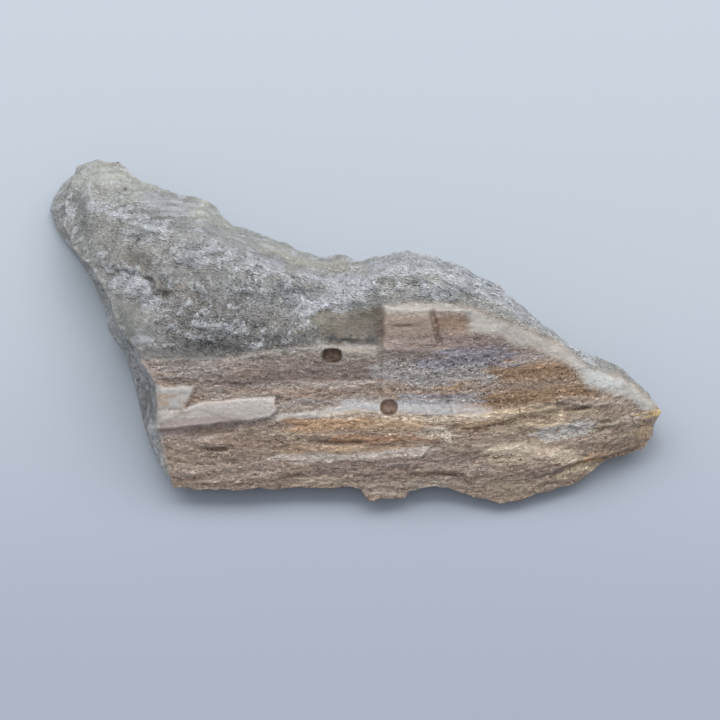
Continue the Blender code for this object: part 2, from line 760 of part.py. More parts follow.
def base_height(places):
    """How far the underside stands clear of the bench at these (x, y) places, in millimetres."""
    solid = np.column_stack([places, np.zeros(len(places))])
    lumps = BASE_HOLLOW * swell(solid, 9.0, 41.0) + 0.4 * BASE_HOLLOW * swell(solid, 3.5, 57.0)
    away = np.hypot(*(places - np.array(REST_PAD)).T)
    return lumps - 0.1 - 1.5 * (1.0 - smoothstep(REST_PAD_RADIUS, REST_PAD_RADIUS + 4.0, away))


def underside(places, loop):
    """The underside's points: flat lands on the bench, hollows between, edges rounded up."""
    edge = np.min([along(places, [a, b])[0] for a, b in zip(loop, np.roll(loop, -1, axis=0))], axis=0)
    height = base_height(places) + BASE_LIFT * (1.0 - smoothstep(0.0, 2.5, edge))
    return np.column_stack([places, np.maximum(height, 0.0)])


def wall_points(top, foot, rows):
    """Rows of points from the face's edge down to the foot, swelling and hackly between."""
    towards = np.roll(top, -1, axis=0) - np.roll(top, 1, axis=0)
    outward = np.column_stack([-towards[:, 1], towards[:, 0], np.zeros(len(top))])
    outward /= np.linalg.norm(outward, axis=1)[:, None]
    made = [top]
    for k in range(1, rows):
        share = k / rows
        row = top + (foot - top) * share
        lumps = WALL_SWELL * swell(row, 7.0, 71.0) + texture(face_frame(row))
        made.append(row + outward * (lumps * math.sin(math.pi * share))[:, None])
    return made + [foot]


def chunk_mesh():
    """The chunk's closed mesh: its face, the wall round it and its underside."""
    face_map = FaceMap()
    stations = np.array([(u, v, 0.0, fu, fv) for u, v, _, fu, fv in STATIONS])
    edge = wandered(stations, EDGE_STEP, EDGE_WANDER)
    rim = edge[:, :2]
    flat, face_faces = triangles(*face_places(rim))
    face = [row_point(*p) for p in face_points(face_map, np.array(flat))]

    top = np.array([row_point(*p) for p in face_points(face_map, rim)]) / MM
    foot = np.array([row_point(u, v, out_of_face(v, 0.0)) for u, v in edge[:, 3:]]) / MM
    foot = underside(foot[:, :2], foot[:, :2])
    rows = wall_points(top, foot, WALL_ROWS)

    loop = foot[:, :2]
    places = grid_points(loop, BASE_STEP, BASE_STEP * 0.87)
    places = places[clear_of(places, loop, 0.6 * BASE_STEP)]
    base, base_faces = triangles(np.concatenate([loop, places]), ring(len(loop)))
    base = underside(np.array(base), loop)

    mesh = bmesh.new()
    add_faces(mesh, face, face_faces, flip=False)
    add_faces(mesh, base * MM, base_faces, flip=True)
    add_wall(mesh, [row * MM for row in rows])
    bmesh.ops.remove_doubles(mesh, verts=mesh.verts, dist=1e-6)
    bmesh.ops.triangulate(mesh, faces=mesh.faces)
    bmesh.ops.recalc_face_normals(mesh, faces=mesh.faces)
    return mesh


def add_faces(mesh, points, faces, flip):
    verts = [mesh.verts.new(p) for p in points]
    for face in faces:
        corners = [verts[k] for k in face]
        mesh.faces.new(corners[::-1] if flip else corners)


def add_wall(mesh, rows):
    grid = [[mesh.verts.new(p) for p in row] for row in rows]
    count = len(grid[0])
    for upper, lower in zip(grid[:-1], grid[1:]):
        for k in range(count):
            after = (k + 1) % count
            mesh.faces.new((upper[k], upper[after], lower[after], lower[k]))


def stone_material():
    material = bpy.data.materials.new("silica_stone")
    material.use_nodes = True
    shader = material.node_tree.nodes["Principled BSDF"]
    shader.inputs["Base Color"].default_value = (0.36, 0.32, 0.28, 1.0)
    shader.inputs["Roughness"].default_value = 0.6
    shader.inputs["Metallic"].default_value = 0.0
    return material


def main():
    for obj in list(bpy.data.objects):
        bpy.data.objects.remove(obj)
    mesh = chunk_mesh()
    data = bpy.data.meshes.new("petrified_wood")
    mesh.to_mesh(data)
    mesh.free()
    data.materials.append(stone_material())
    chunk = bpy.data.objects.new("petrified_wood", data)
    bpy.context.scene.collection.objects.link(chunk)


main()
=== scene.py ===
"""The looks of the petrified wood: a fine surface in place of the plain solid, floor, light, camera.

The surface is built from the same survey of the broad face as the solid. A point of the face is
(u, v, height): u runs right and v runs up the slope, both as seen square on, and height is
measured above the bench. The face leans back by FACE_LEAN. Everything is in millimetres until
row_point turns it into the frame's metres.
"""

import math

import bmesh
import bpy
import numpy as np
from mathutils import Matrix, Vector, kdtree, noise
from mathutils.bvhtree import BVHTree
from mathutils.geometry import delaunay_2d_cdt


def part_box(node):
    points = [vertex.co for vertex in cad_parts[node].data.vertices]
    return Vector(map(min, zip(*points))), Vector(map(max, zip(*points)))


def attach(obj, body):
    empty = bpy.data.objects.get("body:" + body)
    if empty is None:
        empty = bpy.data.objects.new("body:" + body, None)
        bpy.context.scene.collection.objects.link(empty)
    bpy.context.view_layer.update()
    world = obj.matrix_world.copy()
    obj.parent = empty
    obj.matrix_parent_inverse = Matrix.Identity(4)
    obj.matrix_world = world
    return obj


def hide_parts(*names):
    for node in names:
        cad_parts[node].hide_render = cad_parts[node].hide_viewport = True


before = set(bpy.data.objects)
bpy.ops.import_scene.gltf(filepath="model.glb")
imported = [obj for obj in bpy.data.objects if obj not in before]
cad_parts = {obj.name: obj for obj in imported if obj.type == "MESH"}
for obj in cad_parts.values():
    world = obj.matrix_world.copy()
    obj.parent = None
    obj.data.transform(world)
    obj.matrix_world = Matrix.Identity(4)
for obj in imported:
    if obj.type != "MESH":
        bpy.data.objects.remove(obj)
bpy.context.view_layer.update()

MM = 0.001
FACE_LEAN = math.radians(30.0)
# Where the face's own origin stands on the bench, so that the chunk's box is centred.
FACE_ORIGIN_X = 1.7
FACE_ORIGIN_Y = -3.0

ROUNDING = 0.45

# Stations round the chunk: the face's edge (u, v, height) and the foot of the wall below it (u, v).
LOBE_FAR_EDGE = [
    (-35.7, 24.7, 5.0, -36.8, 23.4), (-33.1, 25.3, 5.5, -33.7, 23.1),
    (-30.5, 24.8, 6.0, -30.8, 22.7), (-28.8, 23.6, 6.2, -29.0, 21.8),
    (-26.3, 22.0, 6.5, -26.3, 19.9), (-23.5, 21.1, 6.5, -23.5, 18.9),
    (-20.2, 20.2, 6.5, -20.0, 17.9), (-17.9, 18.9, 6.3, -17.6, 16.6),
    (-15.7, 16.6, 6.2, -15.6, 14.6), (-12.1, 15.5, 6.2, -12.0, 13.5), (-9.3, 14.4, 6.0, -9.2, 12.5),
    (-7.2, 13.5, 5.5, -7.2, 11.6),
]
SADDLE_EDGE = [
    (-4.9, 12.7, 5.0, -4.9, 11.1), (-2.5, 13.1, 5.0, -2.4, 11.3), (0.0, 12.3, 6.0, 0.1, 10.5),
    (2.0, 12.6, 7.5, 2.3, 10.4),
]
DOME_EDGE = [
    (3.9, 13.0, 9.5, 4.4, 9.9), (6.0, 13.1, 11.0, 6.6, 9.4), (8.7, 12.5, 11.5, 9.6, 8.8),
    (11.5, 11.5, 11.5, 12.7, 8.0), (14.2, 10.2, 11.0, 15.6, 6.9), (16.8, 8.8, 10.5, 18.3, 5.7),
]
RIGHT_BACK_EDGE = [
    (18.7, 7.1, 10.0, 20.1, 4.3), (20.8, 5.1, 9.5, 22.3, 2.4), (22.8, 3.5, 9.0, 24.3, 0.9),
    (25.2, 1.9, 8.5, 26.7, -0.6), (27.5, 0.7, 8.0, 28.9, -1.8), (29.9, -0.2, 7.5, 31.2, -2.7),
    (31.8, -1.5, 7.0, 32.8, -3.9), (34.3, -3.9, 6.0, 34.4, -6.0),
]
RIGHT_TIP = [
    (36.0, -6.1, 4.4, 35.2, -7.5), (34.8, -9.0, 2.9, 33.9, -9.4), (33.6, -10.6, 2.1, 32.6, -10.8),
    (30.8, -11.5, 1.9, 30.2, -11.5), (28.1, -12.7, 1.8, 27.7, -12.5),
]
LOWER_FLAKE_EDGE = [
    (26.3, -14.2, 1.7, 25.7, -13.7), (23.6, -15.2, 1.6, 23.2, -14.5),
    (20.6, -16.1, 1.6, 20.4, -15.2), (16.5, -16.9, 1.6, 16.7, -15.8),
    (14.1, -16.4, 1.6, 14.4, -15.4), (12.0, -15.5, 1.9, 12.0, -14.5), (9.2, -15.0, 2.1, 9.4, -13.7),
]
SPLINTER_EDGE = [
    (5.7, -15.5, 2.2, 6.4, -13.5), (5.2, -16.2, 2.1, 4.8, -13.6), (1.3, -16.6, 2.1, 2.2, -13.6),
    (0.1, -15.3, 2.3, 0.2, -13.4),
]
WOOD_FRONT_EDGE = [
    (-1.8, -15.1, 2.4, -1.8, -13.3), (-7.1, -15.1, 2.4, -7.2, -13.2),
    (-13.0, -15.3, 2.4, -13.2, -13.2), (-18.8, -15.3, 2.4, -18.6, -13.2),
    (-21.9, -15.2, 2.4, -21.5, -13.3),
]
LEFT_END = [
    (-22.6, -13.0, 3.7, -23.4, -12.9), (-23.2, -10.6, 5.2, -24.6, -11.6),
    (-23.7, -8.2, 6.7, -25.7, -9.2), (-23.8, -5.3, 8.2, -26.6, -6.3),
    (-23.9, -3.3, 9.1, -27.3, -3.9), (-24.9, -1.3, 9.6, -28.1, -1.7), (-25.9, 0.2, 9.8, -28.6, 0.0),
]
LOBE_NEAR_EDGE = [
    (-26.9, 1.8, 9.3, -29.5, 1.5), (-28.8, 3.8, 8.8, -30.7, 3.5), (-29.9, 7.0, 8.5, -32.1, 6.7),
    (-31.4, 9.1, 7.8, -33.4, 9.5), (-33.0, 11.7, 7.0, -35.2, 12.1), (-35.5, 14.0, 5.5, -36.9, 14.0),
    (-36.8, 16.7, 4.6, -38.4, 16.2), (-36.9, 19.8, 4.8, -39.4, 18.7),
    (-36.7, 21.4, 4.9, -39.1, 20.2), (-36.2, 23.2, 5.0, -38.0, 22.3),
]
STATIONS = (
    LOBE_FAR_EDGE + SADDLE_EDGE + DOME_EDGE + RIGHT_BACK_EDGE + RIGHT_TIP
    + LOWER_FLAKE_EDGE + SPLINTER_EDGE + WOOD_FRONT_EDGE + LEFT_END + LOBE_NEAR_EDGE
)

# Spot heights on the face (u, v, height), along its crests, slopes and hollows.
STONE_CREST = [
    (-34.3, 21.8, 7.0), (-30.7, 18.7, 9.3), (-28.3, 17.3, 10.6), (-25.6, 15.8, 12.2),
    (-22.8, 15.4, 13.4), (-19.1, 14.7, 14.4), (-15.5, 13.6, 14.2), (-12.2, 11.8, 13.4),
    (-9.0, 10.3, 12.1),
]
SADDLE = [(-6.0, 9.0, 10.6), (-3.0, 8.8, 10.0), (-0.2, 9.5, 10.9)]
DOME_CREST = [
    (2.4, 10.5, 12.6), (5.3, 10.9, 13.9), (8.5, 10.4, 14.6), (11.8, 9.5, 14.4), (14.8, 7.9, 13.7),
    (17.7, 6.0, 12.7), (20.7, 3.8, 11.7), (23.6, 1.7, 10.7), (26.6, -0.2, 9.6), (29.0, -1.3, 8.9),
    (31.4, -2.5, 7.9), (33.8, -4.4, 6.7),
]
BACK_SLOPE = [
    (-31.9, 22.7, 7.2), (-28.5, 20.8, 8.0), (-23.9, 18.5, 9.6), (-19.6, 17.7, 10.3),
    (-14.3, 14.7, 10.2), (-10.9, 13.5, 9.4), (-7.3, 11.8, 8.2), (-3.7, 11.1, 7.0),
    (-0.6, 11.1, 8.0), (3.0, 11.8, 10.9), (8.6, 11.7, 13.4), (14.3, 9.3, 13.0), (19.0, 6.3, 11.6),
]
LOBE_FACE = [
    (-35.2, 19.2, 5.6), (-33.1, 18.0, 8.0), (-31.8, 14.9, 9.0), (-32.4, 12.8, 8.0),
    (-27.8, 13.5, 10.8), (-25.9, 12.0, 11.2), (-29.7, 10.7, 9.2), (-26.6, 9.1, 10.6),
    (-24.9, 8.4, 10.4), (-23.5, 8.4, 10.2), (-28.5, 6.6, 9.6), (-26.5, 4.8, 10.7),
    (-24.9, 3.3, 10.4), (-25.2, 1.2, 10.0),
]
SHOULDER = [
    (-22.1, 11.7, 13.4), (-18.4, 10.7, 14.4), (-14.8, 8.9, 13.9), (-20.8, 8.1, 12.4),
    (-17.1, 6.5, 13.0), (-13.0, 6.2, 12.6), (-8.9, 6.9, 11.5), (-21.9, 5.0, 11.4),
    (-18.3, 3.5, 11.5), (-14.2, 3.5, 11.4), (-10.1, 3.8, 11.0), (-7.1, 5.0, 10.7),
]
HOLLOW = [
    (-22.3, 1.8, 10.0), (-18.9, 1.2, 10.0), (-14.8, 1.2, 10.0), (-11.3, 1.9, 10.2),
    (-7.1, 2.4, 10.3), (-3.6, 2.8, 10.2), (0.0, 2.6, 10.2), (2.1, 2.6, 10.3), (-4.2, 6.0, 10.4),
    (-1.2, 5.4, 10.2), (1.2, 4.5, 10.4), (1.4, 7.6, 12.0), (-1.8, 7.4, 10.7),
]
WOOD_TOP = [
    (-24.8, -0.1, 10.2), (-21.8, 0.1, 10.4), (-18.9, 0.2, 10.4), (-13.0, 0.7, 10.5),
    (-7.1, 1.5, 10.6), (-1.8, 1.7, 10.6), (2.4, 1.5, 10.7), (3.8, 6.4, 12.4), (8.3, 6.6, 13.0),
    (12.4, 6.4, 13.1), (16.5, 4.8, 12.3), (19.5, 3.2, 11.5), (22.4, 1.2, 10.6), (26.0, -0.8, 9.5),
    (29.0, -1.7, 8.6), (32.6, -3.2, 7.3), (34.7, -5.2, 6.2),
]
WOOD_SLOPE = [
    (3.8, 1.8, 11.0), (9.4, 1.2, 11.2), (16.5, 1.2, 11.1), (22.4, -1.4, 9.7), (28.4, -3.8, 7.8),
    (-22.6, -4.7, 8.5), (-17.1, -4.7, 8.6), (-10.6, -4.7, 8.6), (-3.5, -4.7, 8.7), (2.9, -4.7, 8.8),
    (9.4, -4.7, 8.8), (16.5, -4.7, 8.6), (23.6, -4.7, 8.1), (29.6, -4.7, 7.2), (-22.3, -9.4, 6.1),
    (-17.0, -9.4, 6.2), (-10.6, -9.4, 6.2), (-3.5, -9.4, 6.2), (2.9, -9.4, 6.3), (9.4, -9.4, 6.3),
    (16.5, -9.4, 6.0), (23.6, -9.4, 5.5), (29.6, -9.5, 4.4), (33.2, -8.3, 4.2), (-21.8, -12.9, 4.1),
    (-17.1, -12.9, 4.1), (-10.6, -12.9, 4.1), (-3.5, -12.9, 4.1), (2.9, -13.2, 3.9),
    (9.4, -12.9, 4.0), (16.5, -13.2, 3.6), (22.4, -12.7, 3.4), (27.2, -11.6, 3.1),
]
SPOT_HEIGHTS = (
    STONE_CREST + SADDLE + DOME_CREST + BACK_SLOPE + LOBE_FACE
    + SHOULDER + HOLLOW + WOOD_TOP + WOOD_SLOPE
)

# Where the wood meets the stone on the face, from the left end's foot up and over to the right tip.
WOOD_OUTLINE = [
    (-22.2, -17.0), (-22.7, -13.0), (-23.2, -10.6), (-23.7, -8.3), (-23.8, -3.0), (-24.8, -1.4),
    (-25.8, 0.2), (-18.9, 0.2), (-13.6, 0.4), (-11.6, 1.1), (-7.1, 1.5), (-1.8, 1.8), (2.4, 1.7),
    (2.7, 6.1), (4.7, 6.6), (11.8, 6.6), (14.2, 5.8), (17.7, 4.5), (21.2, 2.2), (24.2, 0.1),
    (26.0, -0.8), (30.7, -1.8), (33.6, -4.1), (37.0, -6.6), (37.0, -17.0),
]
# The grain runs level at the left and bends upward to the right of this place.
GRAIN_BEND_U = -5.0
GRAIN_BEND = 0.0022

# Lumps of the stone: (u, v, half width, half height, rise), hollows having a negative rise.
LUMPS = [
    (-26.4, 4.5, 2.4, 2.7, 0.7), (-26.3, 8.6, 3.2, 1.4, 0.4), (-30.8, 22.6, 3.2, 1.5, 0.35),
    (-17.5, 17.5, 2.6, 1.7, 0.5), (-11.3, 14.0, 3.2, 1.5, 0.4), (-2.4, 11.2, 3.6, 1.2, 0.5),
    (-5.5, 7.2, 3.4, 1.4, 0.4), (-34.6, 17.6, 1.3, 2.3, -0.5), (-21.0, 10.6, 2.2, 2.0, -0.4),
    (-26.8, 15.9, 4.0, 1.0, 0.4),
]

# Over how far the start and the end of a ledge's line run out.
SHORT_ENDS = (0.7, 0.7)
# Ledges: (rise, reach, width of the step, ends, line). The face steps up by rise on the right-hand
# side of the line, as it is walked, and the rise dies away over reach.
LEDGES = [
    # The upright break at the left of the thick block of wood, gentle at its foot.
    (0.9, 6.0, 0.5, (3.2, 0.7), [(2.8, -0.8), (2.7, 1.7), (2.8, 4.5), (2.9, 6.7)]),
    (0.3, 4.0, 0.3, SHORT_ENDS, [(2.7, -4.6), (2.6, -1.8), (2.8, 0.2)]),
    # Flakes of wood that end part-way along.
    (0.35, 4.0, 0.3, SHORT_ENDS, [(4.7, -7.1), (7.6, -7.7), (10.2, -8.0), (10.8, -8.8), (10.7, -10.2)]),
    (0.5, 2.5, 0.3, (0.7, 2.0), [
        (23.5, -5.6), (21.8, -6.0), (18.8, -6.4), (17.1, -7.2), (12.9, -8.0), (10.8, -8.4),
    ]),
    (0.5, 3.0, 0.3, SHORT_ENDS, [(13.4, -14.6), (12.5, -14.1), (11.2, -13.4), (8.2, -13.3), (5.5, -13.3)]),
    (0.9, 4.0, 0.3, (0.7, 4.0), [
        (33.3, -10.2), (30.8, -10.9), (28.2, -11.6), (25.9, -12.0), (24.2, -12.6), (22.6, -13.3),
        (19.4, -14.0),
    ]),
    (0.4, 2.5, 0.3, (2.0, 0.7), [(31.5, -5.2), (27.4, -5.5), (23.4, -5.0), (19.5, -5.6)]),
    # The top edge of the wood stands out of the hollow in the stone.
    (0.4, 3.0, 0.5, SHORT_ENDS, [
        (-25.2, 0.0), (-20.6, 0.35), (-14.7, 0.25), (-11.5, 1.1), (-7.1, 1.5), (-2.9, 1.8), (2.3, 1.7),
    ]),
    # The pale lip across the top of the stone lobe, and the broken step below it.
    (0.4, 2.5, 0.5, SHORT_ENDS, [(-32.8, 18.6), (-30.2, 18.3), (-28.2, 17.6), (-26.4, 16.6), (-23.9, 15.8)]),
    (0.55, 3.0, 0.4, SHORT_ENDS, [
        (-24.5, 7.9), (-24.4, 9.0), (-24.8, 9.8), (-26.6, 10.2), (-28.9, 11.0), (-30.7, 11.5),
    ]),
]

# The two pale smooth blocks at the left end, and the flat recess beside the notch in the thick block.
SMALL_BLOCK = [(-25.2, -3.2), (-19.4, -3.0), (-20.1, -4.7), (-20.6, -5.8), (-25.2, -6.1)]
LONG_BLOCK = [
    (-25.2, -6.1), (-20.6, -5.8), (-18.9, -5.0), (-14.2, -4.5), (-10.0, -4.4), (-9.8, -5.9),
    (-10.6, -6.8), (-13.0, -7.2), (-14.4, -7.2), (-25.2, -8.4),
]
RECESS = [(8.6, 5.9), (13.0, 5.7), (13.4, 3.5), (9.7, 2.6)]
# Plateaus: (rise, half width of the edge's slope, outline), hollows having a negative rise.
PLATEAUS = [(0.35, 0.3, SMALL_BLOCK), (0.5, 0.2, LONG_BLOCK), (-0.25, 0.7, RECESS)]

# Cracks: (depth, width, line).
CRACKS = [
    (0.25, 0.45, [(-19.0, -10.4), (-16.5, -10.5), (-14.1, -10.3)]),
    (0.25, 0.45, [(-10.8, -10.4), (-9.5, -10.3), (-7.8, -10.1)]),
    (0.3, 0.5, [(-6.5, -9.5), (-2.5, -9.8), (0.6, -9.7)]),
    (0.35, 0.9, [(-21.2, -8.6), (-18.2, -8.4), (-14.3, -7.9)]),
    (0.45, 0.8, [(8.4, 6.3), (8.8, 4.2), (9.2, 2.6), (9.6, 1.3)]),
    (0.1, 0.3, [(3.7, 3.9), (5.4, 4.0), (7.0, 4.1)]),
    (0.4, 0.5, [(-3.0, 2.1), (-0.6, 2.2), (1.8, 2.1)]),
    # The crevice below the broken step of the stone lobe.
    (0.3, 0.5, [(-29.3, 11.2), (-27.6, 10.6), (-26.0, 10.2), (-25.0, 9.4), (-24.7, 8.0), (-23.6, 7.4)]),
    (0.35, 0.5, [(8.4, -13.2), (12.0, -13.5), (13.0, -14.4)]),
    (0.35, 0.45, [(23.6, -5.9), (26.0, -5.8), (27.5, -5.5)]),
    (0.3, 0.45, [(27.8, -7.4), (30.5, -7.2)]),
]

# Old borings in the wood, pits with round or blunt corners:
# (depth, u, v, half width, half height, squareness), where 2 is round.
BORINGS = [(0.6, -3.3, 0.5, 1.2, 0.85, 2.8), (0.7, 3.4, -5.6, 1.05, 0.95, 2.1)]

BORING_SIDES = 12
# How far beside each ledge, plateau edge and crack the mesh has a row of points.
FEATURE_SPREAD = 0.17
# How far a broken edge strays, and how long its short runs are.
RAGGED = 0.18
RAGGED_STEP = 0.7
# How far the face's edge strays from straight runs between its stations.
EDGE_WANDER = 0.35
# The coarse broken surface: how high its forms rise, and how far apart those of stone and wall are.
STONE_SWELL = 0.4
STONE_SWELL_SIZE = 4.5
STONE_HACKLE = 0.4
STONE_HACKLE_SIZE = 3.4
WOOD_TERRACE = 0.3
WOOD_FIBRE = 0.16
WALL_SWELL = 0.8
WALL_SWELL_SIZE = 7.0
# The fine broken surface: crusts, small facets and sand of the stone, splits, fibres and flakes of
# the wood.
CRUST_RISE = 0.15
FACET_RISE = 0.15
FACET_SIZE = 1.25
SAND_DEPTH = 0.1
SAND_SIZE = 0.5
SPLIT_RISE = 0.07
FIBRE_RISE = 0.1
FLAKE_DEPTH = 0.14
# The underside: how far its edge rises and over what width, and how deep and wide its hollows are.
BASE_LIFT = 0.9
BASE_LIFT_WIDTH = 2.5
BASE_HOLLOW = 0.6
BASE_HOLLOW_SIZE = 9.0
# The flat land under the chunk's middle, where it rests and where a stand would meet it: its place
# (x, y), its radius, the width of its border and how far down it presses the hollows.
REST_PAD = (-6.0, 3.0)
REST_PAD_RADIUS = 7.0
REST_PAD_BLEND = 4.0
REST_PAD_DROP = 1.5

# The white chalcedony rim between the wood and the stone.
WHITE_RIM = [
    (2.6, 6.4), (5.3, 6.8), (11.6, 6.7), (13.9, 5.9), (16.2, 5.2), (19.0, 4.1), (22.6, 2.6),
    (25.2, 0.9), (26.8, -0.9), (29.0, -1.3), (31.0, -2.0), (33.5, -3.6), (36.0, -5.6), (34.0, -6.2),
    (31.9, -4.5), (28.9, -3.7), (26.6, -2.8), (25.2, -1.0), (22.6, 0.3), (20.0, 1.4), (18.4, 1.4),
    (16.8, 2.7), (12.6, 3.4), (12.8, 4.6), (12.0, 5.6), (7.0, 5.6), (2.8, 5.3),
]

# Colours as seen in daylight, red, green and blue from 0 to 255, and how much of it they send back.
WOOD_LIGHT = 1.14
STONE_LIGHT = 0.65
TAN = (142, 125, 112)
STONE_GREY = (148, 148, 145)
CRUST_WHITE = (180, 183, 190)
CRUST_COVER = 0.5

